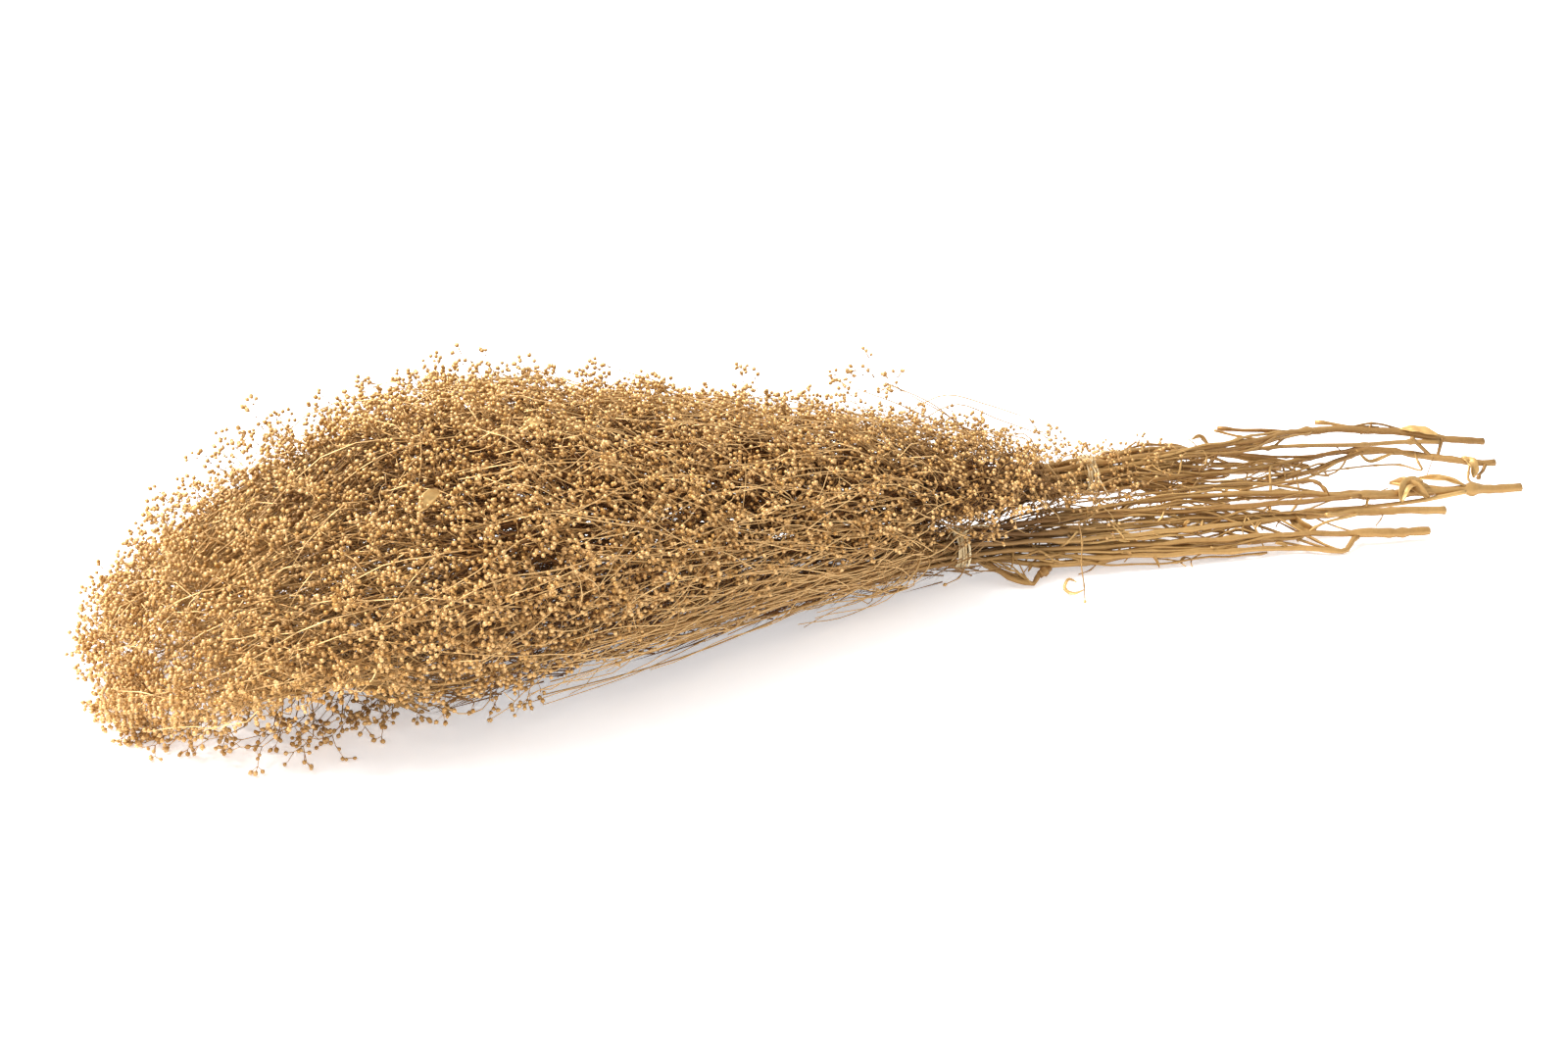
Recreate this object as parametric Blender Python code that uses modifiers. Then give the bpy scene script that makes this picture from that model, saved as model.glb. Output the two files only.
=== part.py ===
"""A tied bunch of dried gypsophila, sprayed gold and laid on its side on a table.

Eight stems are each one grown piece: a woody butt, a swollen joint where it forks into two
shoots, and a head of fine twigs that ends in small round buds. Two raffia bands hold them,
one on the four front stems and one on the four back stems.
Units are metres, +Z is up, the cut ends point along +X and the flower heads along -X.
"""

import math
import random

import bmesh
import bpy
import numpy as np
from mathutils import Matrix, Vector

MM = 0.001

# Where the drawing's zero lies in the finished part: the middle of its footprint, on the table.
SHIFT = Vector((-0.0206, 0.0322, 0.0))

# The outline of all the flower heads together, cut across the bunch at each x:
# x, y of the middle, half width, height above the table.
HEAD_OUTLINE = (
    (0.210, -0.022, 0.040, 0.044),
    (0.150, -0.022, 0.048, 0.056),
    (0.080, -0.019, 0.055, 0.078),
    (0.020, -0.017, 0.066, 0.094),
    (-0.040, -0.020, 0.080, 0.108),
    (-0.100, -0.024, 0.100, 0.122),
    (-0.160, -0.029, 0.116, 0.134),
    (-0.220, -0.034, 0.124, 0.130),
    (-0.270, -0.034, 0.122, 0.112),
    (-0.310, -0.033, 0.108, 0.086),
    (-0.340, -0.032, 0.082, 0.064),
    (-0.362, -0.031, 0.044, 0.044),
)
TABLE_CUT = 1.16  # the oval's height over the head's: the table cuts off its lowest part

# Each raffia band: where it is, and how far from its middle the shoots sit in it.
BANDS = {
    "front": {"x": 0.076, "y": -0.044, "z": 0.0195, "seat": 0.0074, "opened_at": -0.12},
    "back": {"x": 0.166, "y": -0.013, "z": 0.0345, "seat": 0.0078, "opened_at": -0.06},
}

# Each stem: its band, the radius at the cut end, the trunk from the cut end to the joint, what
# each shoot passes on its way to the band, its two seats in the band (degrees, 0 back, 90 up)
# and in the head (across, up, as shares of the half sizes), where the dense part of its head
# starts and ends, how many sprigs stand out of it, and its broken side twigs.
STEMS = {
    "gypsophila_stem_1": {
        "band": "back", "butt": 0.0021,
        "trunk": ((0.406, -0.028, 0.0225), (0.387, -0.023, 0.0250), (0.352, -0.006, 0.0310),
                  (0.309, 0.002, 0.0330)),
        "routes": (((0.262, -0.010, 0.0370), (0.222, -0.012, 0.0390)),
                   ((0.276, 0.002, 0.0290), (0.240, -0.006, 0.0320), (0.215, -0.014, 0.0370))),
        "seats": (118, 152), "head": ((0.10, 0.56), (0.34, 0.54)),
        "dense": (0.156, -0.344), "sprigs": 20,
        "twigs": (((0.298, 0.002, 0.0340), (0.262, 0.015, 0.0370)),
                  ((0.352, -0.006, 0.0310), (0.322, 0.012, 0.0330))),
    },
    "gypsophila_stem_2": {
        "band": "back", "butt": 0.0021,
        "trunk": ((0.405, -0.041, 0.0150), (0.390, -0.036, 0.0155), (0.368, -0.017, 0.0175),
                  (0.342, -0.008, 0.0210)),
        "routes": (((0.296, -0.012, 0.0225), (0.250, -0.019, 0.0250), (0.210, -0.021, 0.0290)),
                   ((0.300, -0.017, 0.0160), (0.250, -0.024, 0.0190), (0.210, -0.020, 0.0240))),
        "seats": (196, 238), "head": ((0.10, -0.42), (0.34, -0.44)),
        "dense": (0.154, -0.340), "sprigs": 8,
        "twigs": (((0.400, -0.0395, 0.0152), (0.391, -0.046, 0.0100)),),
    },
    "gypsophila_stem_3": {
        "band": "back", "butt": 0.0017,
        "trunk": ((0.307, -0.008, 0.0150), (0.289, -0.001, 0.0200), (0.258, 0.004, 0.0260)),
        "routes": (((0.214, -0.001, 0.0400),),
                   ((0.214, 0.003, 0.0340),)),
        "seats": (76, 38), "head": ((0.60, 0.44), (0.80, 0.22)),
        "dense": (0.154, -0.326), "sprigs": 17, "twigs": (),
    },
    "gypsophila_stem_4": {
        "band": "back", "butt": 0.0018,
        "trunk": ((0.300, 0.010, 0.0100), (0.275, 0.006, 0.0130), (0.250, 0.001, 0.0180)),
        "routes": (((0.214, -0.009, 0.0250),),
                   ((0.214, -0.002, 0.0280),)),
        "seats": (280, 322), "head": ((0.60, -0.40), (0.82, -0.26)),
        "dense": (0.150, -0.334), "sprigs": 14, "twigs": (),
    },
    "gypsophila_stem_5": {
        "band": "front", "butt": 0.0026,
        "trunk": ((0.404, -0.067, 0.0100), (0.377, -0.060, 0.0110), (0.340, -0.058, 0.0140),
                  (0.306, -0.060, 0.0180)),
        "routes": (((0.270, -0.052, 0.0225), (0.232, -0.045, 0.0250), (0.188, -0.039, 0.0260),
                    (0.132, -0.037, 0.0245)),
                   ((0.276, -0.063, 0.0210), (0.232, -0.056, 0.0220), (0.188, -0.050, 0.0235),
                    (0.132, -0.044, 0.0260))),
        "seats": (32, 72), "head": ((-0.36, 0.60), (-0.13, 0.58)),
        "dense": (0.072, -0.350), "sprigs": 19,
        "twigs": (((0.372, -0.060, 0.0112), (0.345, -0.049, 0.0150)),),
    },
    "gypsophila_stem_6": {
        "band": "front", "butt": 0.0022,
        "trunk": ((0.349, -0.076, 0.0090), (0.322, -0.068, 0.0105), (0.272, -0.060, 0.0120)),
        "routes": (((0.225, -0.0540, 0.0165), (0.180, -0.0510, 0.0180), (0.130, -0.0500, 0.0200)),
                   ((0.230, -0.0630, 0.0150), (0.180, -0.0580, 0.0160), (0.130, -0.0540, 0.0180))),
        "seats": (114, 154), "head": ((-0.62, 0.44), (-0.81, 0.22)),
        "dense": (0.064, -0.338), "sprigs": 20,
        "twigs": (((0.300, -0.0645, 0.0112), (0.276, -0.074, 0.0170)),),
    },
    "gypsophila_stem_7": {
        "band": "front", "butt": 0.0026,
        "trunk": ((0.331, -0.0880, 0.0045), (0.310, -0.0840, 0.0050), (0.292, -0.0790, 0.0055)),
        "routes": (((0.265, -0.0740, 0.0090), (0.224, -0.0680, 0.0100), (0.150, -0.0560, 0.0120)),
                   ((0.282, -0.0880, 0.0018), (0.258, -0.0780, 0.0030), (0.210, -0.0720, 0.0060),
                    (0.150, -0.0600, 0.0080))),
        "seats": (192, 222), "head": ((-0.60, -0.42), (-0.82, -0.28)),
        "dense": (0.015, -0.350), "sprigs": 17, "twigs": (),
    },
    "gypsophila_stem_8": {
        "band": "front", "butt": 0.0020,
        "trunk": ((0.262, -0.0650, 0.0035), (0.215, -0.0600, 0.0045), (0.170, -0.0550, 0.0050),
                  (0.121, -0.0540, 0.0055)),
        "routes": (((0.110, -0.0500, 0.0080),),
                   ((0.106, -0.0660, 0.0018),)),
        "seats": (256, 300), "head": ((-0.36, -0.44), (-0.13, -0.46)),
        "dense": (0.000, -0.352), "sprigs": 8, "twigs": (),
    },
}

# A shoot thins evenly from the joint to its tip, and swells at each joint along it.
SHOOT_RADIUS, SHOOT_TIP_RADIUS = 0.0015, 0.0006
JOINT_SPACING, JOINT_SWELL, JOINT_HALF_LENGTH = 0.070, 1.55, 0.0045
STATION_STEP = 0.010
PATH_ERROR = 0.0009
CLEARANCE = 0.0004  # between the stems of the bunch where they lie side by side
SETTLE_ROUNDS, EASE_ROUNDS = 120, 8

# The dense middle of each head, which the sprigs stand out of.
CORE_SHARE = 0.87  # of the way from the head's middle to its outline
CORE_STEP, CORE_OUTSIDE, CORE_INSIDE, CORE_LOOKS = 0.0235, 6, 4, 180
CORE_MARGIN = 0.0009
CORE_DOME = 0.024  # the length of its rounded end
BUD_HUMP = (0.0022, 0.0034, 0.0046)  # the heights of the packed buds on the core

# A sprig: a stalk with a swollen knuckle, two side stalks there, and a bud on each.
BUD_RADIUS, STALK_RADIUS, KNUCKLE_RADIUS = 0.0017, 0.00048, 0.0009
SPRIG_LENGTHS = (0.020, 0.027, 0.034)
SIDE_STALK_LENGTH = 0.011
SPRIG_SIDES = 3

BAND_WIDTH, BAND_THICKNESS, BAND_GAP = 0.0055, 0.0008, 0.0005
BAND_SIDES = 18

GOLD_STRAW = (0.46, 0.27, 0.10, 1.0)
PALE_RAFFIA = (0.56, 0.42, 0.22, 1.0)


# Curves and sections

def smooth_curve(knots, values, at):
    """Values at the given places on a smooth curve through the knots, which run either way."""
    order = np.argsort(knots)
    x = np.asarray(knots, float)[order]
    v = np.asarray(values, float)[order]
    slope = np.gradient(v, x)
    at = np.clip(at, x[0], x[-1])
    i = np.clip(np.searchsorted(x, at) - 1, 0, len(x) - 2)
    width = x[i + 1] - x[i]
    t = (at - x[i]) / width
    return (
        (1 + 2 * t) * (1 - t) ** 2 * v[i]
        + t * (1 - t) ** 2 * width * slope[i]
        + t * t * (3 - 2 * t) * v[i + 1]
        - t * t * (1 - t) * width * slope[i + 1]
    )


def head_section(x):
    """Middle y, middle z, half width and half height of the heads' oval outline at x."""
    knots, middle, half_width, height = np.array(HEAD_OUTLINE).T
    tall = smooth_curve(knots, height, x)
    half_height = tall * TABLE_CUT / 2
    return (
        smooth_curve(knots, middle, x),
        tall - half_height,
        smooth_curve(knots, half_width, x),
        half_height,
    )


def smooth_step(t):
    """Rises smoothly from 0 to 1."""
    t = np.clip(t, 0.0, 1.0)
    return t * t * (3 - 2 * t)


def shoot_route(stem, number):
    """Knots of one shoot, from the cut end through the band and out into the head."""
    band = BANDS[stem["band"]]
    turn = math.radians(stem["seats"][number])
    seat = (
        band["y"] + band["seat"] * math.cos(turn),
        band["z"] + band["seat"] * math.sin(turn),
    )
    knots = list(stem["trunk"] if number == 0 else stem["trunk"][-1:])
    knots += stem["routes"][number]
    knots.append((band["x"] + 0.011, *seat))
    across, up = stem["head"][number]
    for x in np.arange(band["x"], stem["dense"][1] - 0.04, -0.02):
        opened = smooth_step((band["x"] - x) / (band["x"] - band["opened_at"]))
        y, z, half_width, half_height = head_section(x)
        knots.append((
            x,
            seat[0] * (1 - opened) + (y + across * half_width) * opened,
            seat[1] * (1 - opened) + (z + up * half_height) * opened,
        ))
    return np.array(knots)


def swellings(stem, number):
    """The joints along a shoot, from the cut end on."""
    joint = stem["trunk"][-1][0]
    first = stem["trunk"][0][0] - 0.018 if number == 0 else joint
    before = np.arange(joint, first, JOINT_SPACING)[::-1]
    return np.concatenate([before, np.arange(joint, stem["dense"][0], -JOINT_SPACING)[1:]])


def shoot_radius(stem, number, x, reach=0.0):
    """Radius along a shoot, swelled at its joints; the first one is also the trunk."""
    x = np.asarray(x, float)
    joint = stem["trunk"][-1][0]
    along = np.clip((joint - x) / (joint - stem["dense"][1]), 0, 1)
    radius = SHOOT_RADIUS + (SHOOT_TIP_RADIUS - SHOOT_RADIUS) * along
    if number == 0:
        radius = np.where(x > joint, stem["butt"], radius)
    for place in swellings(stem, number):
        near = np.clip(1 - (np.abs(x - place) - reach) / JOINT_HALF_LENGTH, 0, 1)
        radius = radius * (1 + (JOINT_SWELL - 1) * near)
    return radius


def dense_share(stem, x):
    """How far the dense part of a head has opened out at x, from 0 on the bare shoots to 1."""
    start = stem["dense"][0]
    return 0.0 if x > start else min(1.0, 0.10 + ((start - x) / 0.045) ** 0.9)


def stations():
    """The places along the bunch where its cross-section is worked out."""
    return np.round(np.arange(0.41, -0.38, -STATION_STEP), 4)


def settle(routes, owners, radii, joints):
    """Pushes the shoots apart wherever they would cross, and up off the table.

    Each row of routes is one shoot's y and z at every station, with nan past its cut end."""
    y, z = routes[:, 0].copy(), routes[:, 1].copy()
    x = stations()
    count = len(owners)
    for turn in range(SETTLE_ROUNDS):
        for i in range(count):
            for j in range(i + 1, count):
                gap = radii[i] + radii[j] + CLEARANCE
                if owners[i] == owners[j]:
                    gap = np.where(x > joints[i] - 0.03, 0.0, gap)
                both = np.isfinite(y[i]) & np.isfinite(y[j])
                dy = np.where(both, y[j] - y[i], 0.0)
                dz = np.where(both, z[j] - z[i], 1.0)
                apart = np.hypot(dy, dz) + 1e-9
                push = 0.5 * np.clip(gap * 1.08 - apart, 0, None) / apart
                y[i] -= dy * push
                z[i] -= dz * push
                y[j] += dy * push
                z[j] += dz * push
        z = np.fmax(z, radii + 0.0002)
        if turn < EASE_ROUNDS:
            for values in (y, z):
                eased = 0.5 * values[:, 1:-1] + 0.25 * (values[:, :-2] + values[:, 2:])
                bend = np.abs(values[:, :-2] + values[:, 2:] - 2 * values[:, 1:-1])
                straighten = np.isfinite(eased) & (bend < 0.0012)
                values[:, 1:-1] = np.where(straighten, eased, values[:, 1:-1])
    return y, z


class Bunch:
    """The settled shoots of all the stems, and which space belongs to which stem."""

    def __init__(self):
        self.x = stations()
        self.owners, self.joints, routes, radii = [], [], [], []
        for name, stem in STEMS.items():
            for number in (0, 1):
                knots = shoot_route(stem, number)
                y = smooth_curve(knots[:, 0], knots[:, 1], self.x)
                z = smooth_curve(knots[:, 0], knots[:, 2], self.x)
                past_end = self.x > knots[:, 0].max() + 1e-6
                routes.append([np.where(past_end, np.nan, y), np.where(past_end, np.nan, z)])
                radii.append(shoot_radius(stem, number, self.x, STATION_STEP / 2))
                self.owners.append(name)
                self.joints.append(stem["trunk"][-1][0])
        self.y, self.z = settle(np.array(routes), self.owners, np.array(radii), self.joints)
        self.radii = np.array(radii)

    def rows(self, name, own=True):
        """Numbers of the stem's own shoots, or of all the others."""
        return [i for i, owner in enumerate(self.owners) if (owner == name) == own]

    def at(self, row, x):
        """y and z of a shoot at x, straight between stations."""
        known = np.isfinite(self.y[row])
        xs = self.x[known][::-1]
        return (
            np.interp(x, xs, self.y[row][known][::-1]),
            np.interp(x, xs, self.z[row][known][::-1]),
        )

    def room(self, name, x, y, z, beside_bare=False):
        """How far a point at x lies inside the stem's own space, negative outside it.

        Beside a shoot that is still bare there, all but the shoot itself can be free."""
        def gap(row):
            return np.hypot(y - self.at(row, x)[0], z - self.at(row, x)[1])
        own = np.min([gap(row) for row in self.rows(name)], axis=0)
        free = []
        for row in self.rows(name, own=False):
            opened = dense_share(STEMS[self.owners[row]], x)
            if beside_bare and opened < 0.6:
                free.append(gap(row) - 0.0030 - 0.030 * opened)
            else:
                free.append((gap(row) - own) / 2)
        return np.min(free, axis=0)


# Meshes

def add_object(name, mesh, collection):
    obj = bpy.data.objects.new(name, mesh)
    collection.objects.link(obj)
    return obj


def mesh_of(obj):
    """A new mesh of an object as its modifiers and curve settings leave it, closed at its caps."""
    bpy.context.view_layer.update()
    graph = bpy.context.evaluated_depsgraph_get()
    mesh = bpy.data.meshes.new_from_object(obj.evaluated_get(graph))
    shape = bmesh.new()
    shape.from_mesh(mesh)
    bmesh.ops.remove_doubles(shape, verts=shape.verts, dist=1e-6)
    bmesh.ops.recalc_face_normals(shape, faces=shape.faces)
    shape.to_mesh(mesh)
    shape.free()
    return mesh


def rod(name, points, radii, collection, resolution=0):
    """A tapering stem piece: a curve through the points with a radius at each, made a mesh."""
    curve = bpy.data.curves.new(name, "CURVE")
    curve.dimensions = "3D"
    curve.bevel_depth = 1.0
    curve.bevel_resolution = resolution
    curve.use_fill_caps = True
    spline = curve.splines.new("POLY")
    spline.points.add(len(points) - 1)
    for knot, point, radius in zip(spline.points, points, radii, strict=True):
        knot.co = (*point, 1.0)
        knot.radius = radius
    guide = add_object(name + "_guide", curve, collection)
    made = add_object(name, mesh_of(guide), collection)
    bpy.data.objects.remove(guide)
    return made


def turned(name, profile, sides, collection):
    """A mesh turned about +Z from (radius, height) pairs, by a Screw modifier."""
    mesh = bpy.data.meshes.new(name)
    mesh.from_pydata([(r, 0, h) for r, h in profile], [(i, i + 1) for i in range(len(profile) - 1)], [])
    obj = add_object(name, mesh, collection)
    screw = obj.modifiers.new("turn", "SCREW")
    screw.steps = screw.render_steps = sides
    screw.use_merge_vertices = True
    screw.merge_threshold = 0.00001
    made = mesh_of(obj)
    bpy.data.objects.remove(obj)
    return made


def stalk_profile(length, knuckle):
    """Root, stalk, knuckle if it has one, neck, widest part of the bud and its point."""
    profile = [(0, 0), (STALK_RADIUS * 1.15, 0)]
    if knuckle:
        profile.append((KNUCKLE_RADIUS, length * 0.56))
    profile += [
        (STALK_RADIUS * 0.8, length - 1.5 * BUD_RADIUS),
        (BUD_RADIUS, length - 0.3 * BUD_RADIUS),
        (0, length + 1.1 * BUD_RADIUS),
    ]
    return profile


def fuse(name, pieces, target, scratch, material):
    """Joins the pieces into one closed body by one Boolean union, and drops loose scraps."""
    body, others = pieces[0], pieces[1:]
    group = bpy.data.collections.new(name + "_pieces")
    bpy.context.scene.collection.children.link(group)
    for piece in others:
        scratch.objects.unlink(piece)
        group.objects.link(piece)
    union = body.modifiers.new("union", "BOOLEAN")
    union.operation = "UNION"
    union.solver = "MANIFOLD"
    union.operand_type = "COLLECTION"
    union.collection = group
    mesh = mesh_of(body)
    for piece in pieces:
        bpy.data.objects.remove(piece)
    bpy.data.collections.remove(group)
    keep_largest(mesh)
    mesh.name = name
    mesh.materials.clear()
    mesh.materials.append(material)
    return add_object(name, mesh, target)


def keep_largest(mesh):
    """Leaves only the largest body of a mesh; two that share just a corner are still apart."""
    shape = bmesh.new()
    shape.from_mesh(mesh)
    bmesh.ops.dissolve_degenerate(shape, dist=1e-6, edges=shape.edges)
    left = set(shape.faces)
    bodies = []
    while left:
        seed = left.pop()
        body, edge = {seed}, [seed]
        while edge:
            for line in edge.pop().edges:
                for other in line.link_faces:
                    if other in left and len(line.link_faces) == 2:
                        left.remove(other)
                        body.add(other)
                        edge.append(other)
        bodies.append(body)
    bodies.sort(key=len)
    scraps = [face for body in bodies[:-1] for face in body]
    bmesh.ops.delete(shape, geom=scraps, context="FACES")
    shape.to_mesh(mesh)
    shape.free()


def plant_material(name, colour, metallic, roughness):
    material = bpy.data.materials.new(name)
    material.use_nodes = True
    shader = material.node_tree.nodes["Principled BSDF"]
    shader.inputs["Base Color"].default_value = colour
    shader.inputs["Metallic"].default_value = metallic
    shader.inputs["Roughness"].default_value = roughness
    material.diffuse_color = colour
    return material


# Stems

def needed_places(bunch, row, start, end, fixed):
    """The fewest places along a shoot that keep straight pieces within a hair of its path."""
    places = sorted({round(x, 4) for x in fixed if end <= x <= start} | {start, end}, reverse=True)
    fine = [x for x in bunch.x if end < x < start]
    while True:
        path = np.array([[x, *bunch.at(row, x)] for x in places])
        worst, where = PATH_ERROR, None
        for x in fine:
            y, z = bunch.at(row, x)
            off = math.hypot(
                y - np.interp(x, path[::-1, 0], path[::-1, 1]),
                z - np.interp(x, path[::-1, 0], path[::-1, 2]),
            )
            if off > worst:
                worst, where = off, x
        if where is None:
            return places
        places = sorted({*places, float(where)}, reverse=True)


def shoot_rod(bunch, name, number, end, scratch):
    """One shoot as far as x = end, with a swelling at each joint; the first has the trunk too."""
    stem, row = STEMS[name], bunch.rows(name)[number]
    start = stem["trunk"][0][0] if number == 0 else stem["trunk"][-1][0]
    band = BANDS[stem["band"]]["x"]
    fixed = [band - 0.004, band + 0.004]
    for place in swellings(stem, number):
        fixed += [place - JOINT_HALF_LENGTH, place, place + JOINT_HALF_LENGTH]
    points, radii = [], []
    for x in needed_places(bunch, row, start, end, fixed):
        points.append(Vector((x, *bunch.at(row, x))) + SHIFT)
        radii.append(float(shoot_radius(stem, number, x)))
    sides = 1 if number == 0 else 0
    return rod(f"{name}_shoot_{number}", points, radii, scratch, resolution=sides)


def core_reach(bunch, name, x, centre, turns):
    """How far the dense middle of a head goes each way from its centre, and what is outside it."""
    y_mid, z_mid, half_width, half_height = head_section(x)
    reach = np.arange(0.0, 0.16, 0.0006)[None, :]
    cos, sin = np.cos(turns)[:, None], np.sin(turns)[:, None]
    y, z = centre[0] + reach * cos, centre[1] + reach * sin
    oval = np.hypot((y - y_mid) / half_width, (z - z_mid) / half_height) / CORE_SHARE
    free = bunch.room(name, x, y, z) > CORE_MARGIN
    edge = np.full(len(turns), reach.max())
    stops = [np.where(bad.any(axis=1), reach[0, bad.argmax(axis=1)], edge)
             for bad in (oval > 1, z < 0, ~free)]
    stops[1] = np.where(sin[:, 0] < -0.01, centre[1] / np.clip(-sin[:, 0], 0.01, None), edge)
    return np.min(stops, axis=0), np.argmin(stops, axis=0)


def longest_run(flags):
    """Start and length of the longest run of true flags round a circle."""
    count = len(flags)
    if flags.all() or not flags.any():
        return None
    best = (0, 0)
    for start in range(count):
        if flags[start] and not flags[start - 1]:
            length = 1
            while flags[(start + length) % count]:
                length += 1
            best = max(best, (length, start))
    return best[1], best[0]


def core_rings(bunch, name):
    """Rings of the head's dense middle, from its rounded end back to the shoots.

    Half of each ring's points lie on the outside of the bunch and half between the stems."""
    start, end = STEMS[name]["dense"]
    count = int(round((start - end - CORE_DOME) / CORE_STEP))
    places = [end + CORE_DOME * share for share in (0.08, 0.42)]
    places += list(np.linspace(end + CORE_DOME, start, count))
    own = bunch.rows(name)
    turns = np.arange(CORE_LOOKS) * math.tau / CORE_LOOKS
    corners, rings = None, []
    for x in places:
        dome = math.sqrt(max(0.0, 1 - max(0.0, 1 - (x - end) / CORE_DOME) ** 2))
        taper = min(dome, dense_share(STEMS[name], x))
        centre = np.mean([bunch.at(row, x) for row in own], axis=0)
        reach, what = core_reach(bunch, name, x, centre, turns)
        run = longest_run(what < 2)
        if run and run[1] > 12:
            corners = run
        first, length = corners
        rest = CORE_LOOKS - length + 1
        spots = [first + (length - 1) * k / CORE_OUTSIDE for k in range(CORE_OUTSIDE)]
        spots += [first + length - 1 + rest * k / CORE_INSIDE for k in range(CORE_INSIDE)]
        ring = []
        for spot in spots:
            at = int(round(spot)) % CORE_LOOKS
            far = max(float(reach[at]) * taper, 0.0006)
            turn = turns[at]
            kind = what[at] if taper > 0.25 else 2
            ring.append((Vector((x, centre[0] + far * math.cos(turn),
                                 max(centre[1] + far * math.sin(turn), 0.0))), kind))
        rings.append(ring)
    tip = Vector((end, *np.mean([bunch.at(row, end) for row in own], axis=0)))
    return rings, tip


def beside_bare_shoots(bunch, name, corners):
    """Whether a face between the stems looks out on shoots of the other band that are still bare."""
    middle = sum(corners, Vector()) / 4
    across = (corners[1] - corners[3]).cross(corners[2] - corners[0])
    if across.length < 1e-5:
        return False
    outward = across.normalized()
    inside = Vector((middle.x, *np.mean([bunch.at(i, middle.x) for i in bunch.rows(name)], axis=0)))
    if outward.dot(middle - inside) < 0:
        outward = -outward
    beyond = middle + outward * 0.008
    return beyond.z > 0.004 and bunch.room(name, *beyond, beside_bare=True) > 0.001


def core(bunch, name, scratch):
    """The dense middle of one head: a loft between the rings, with a hump on each outer face."""
    rings, tip = core_rings(bunch, name)
    chance = random.Random(name)
    shape = bmesh.new()
    verts = [[shape.verts.new(point + SHIFT) for point, _ in ring] for ring in rings]
    sides = CORE_OUTSIDE + CORE_INSIDE
    outer, seats = [], []
    for i in range(len(rings) - 1):
        for k in range(sides):
            n = (k + 1) % sides
            corners = [verts[i][k], verts[i][n], verts[i + 1][n], verts[i + 1][k]]
            kinds = (rings[i][k][1], rings[i][n][1], rings[i + 1][n][1], rings[i + 1][k][1])
            outside = k < CORE_OUTSIDE and kinds.count(0) >= 2 and kinds.count(1) < 2
            if outside or beside_bare_shoots(bunch, name, [rings[i][k][0], rings[i][n][0],
                                                           rings[i + 1][n][0], rings[i + 1][k][0]]):
                outer.append(shape.faces.new(corners))
            else:
                shape.faces.new(corners[:3])
                shape.faces.new([corners[0], corners[2], corners[3]])
    shape.faces.new(verts[-1])
    peak = shape.verts.new(tip + SHIFT)
    for k in range(sides):
        face = shape.faces.new([verts[0][k], verts[0][(k + 1) % sides], peak])
        if k % 2 == 0:
            seats.append(face)
    bmesh.ops.recalc_face_normals(shape, faces=shape.faces)
    shape.normal_update()
    seats = [(face.calc_center_median(), face.normal.copy()) for face in outer + seats]
    groups = [[] for _ in BUD_HUMP]
    for face in outer:
        height = chance.randrange(len(groups))
        if face.calc_center_median().z + face.normal.z * BUD_HUMP[height] > 0.0005:
            groups[height].append(face)
    for faces, height in zip(groups, BUD_HUMP, strict=True):
        bmesh.ops.poke(shape, faces=faces, offset=height)
    mesh = bpy.data.meshes.new(name + "_core")
    bmesh.ops.triangulate(shape, faces=shape.faces)
    shape.to_mesh(mesh)
    shape.free()
    return add_object(name + "_core", mesh, scratch), seats


def stalk_matrix(root, direction, spin):
    """Places a stalk that was turned about +Z."""
    turn = direction.to_track_quat("Z", "Y").to_matrix().to_4x4()
    return Matrix.Translation(root) @ turn @ Matrix.Rotation(spin, 4, "Z")


def fits(bunch, name, root, direction, length, radius):
    """Whether a stalk and its bud stay in the stem's own space and above the table."""
    for share in (0.3, 0.5, 0.7, 0.85, 1.0):
        point = root + direction * (length * share) - SHIFT
        if point.z < radius or bunch.room(name, *point, beside_bare=True) < radius + 0.0004:
            return False
    return point.x > -0.366


def spread_out(points):
    """An order that starts at the tip and always goes on to the point furthest from those before."""
    points = np.array(points)
    order = [int(np.argmin(points[:, 0]))]
    gaps = np.full(len(points), np.inf)
    while len(order) < len(points):
        gaps = np.minimum(gaps, np.linalg.norm(points - points[order[-1]], axis=1))
        order.append(int(np.argmax(gaps)))
    return order


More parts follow.
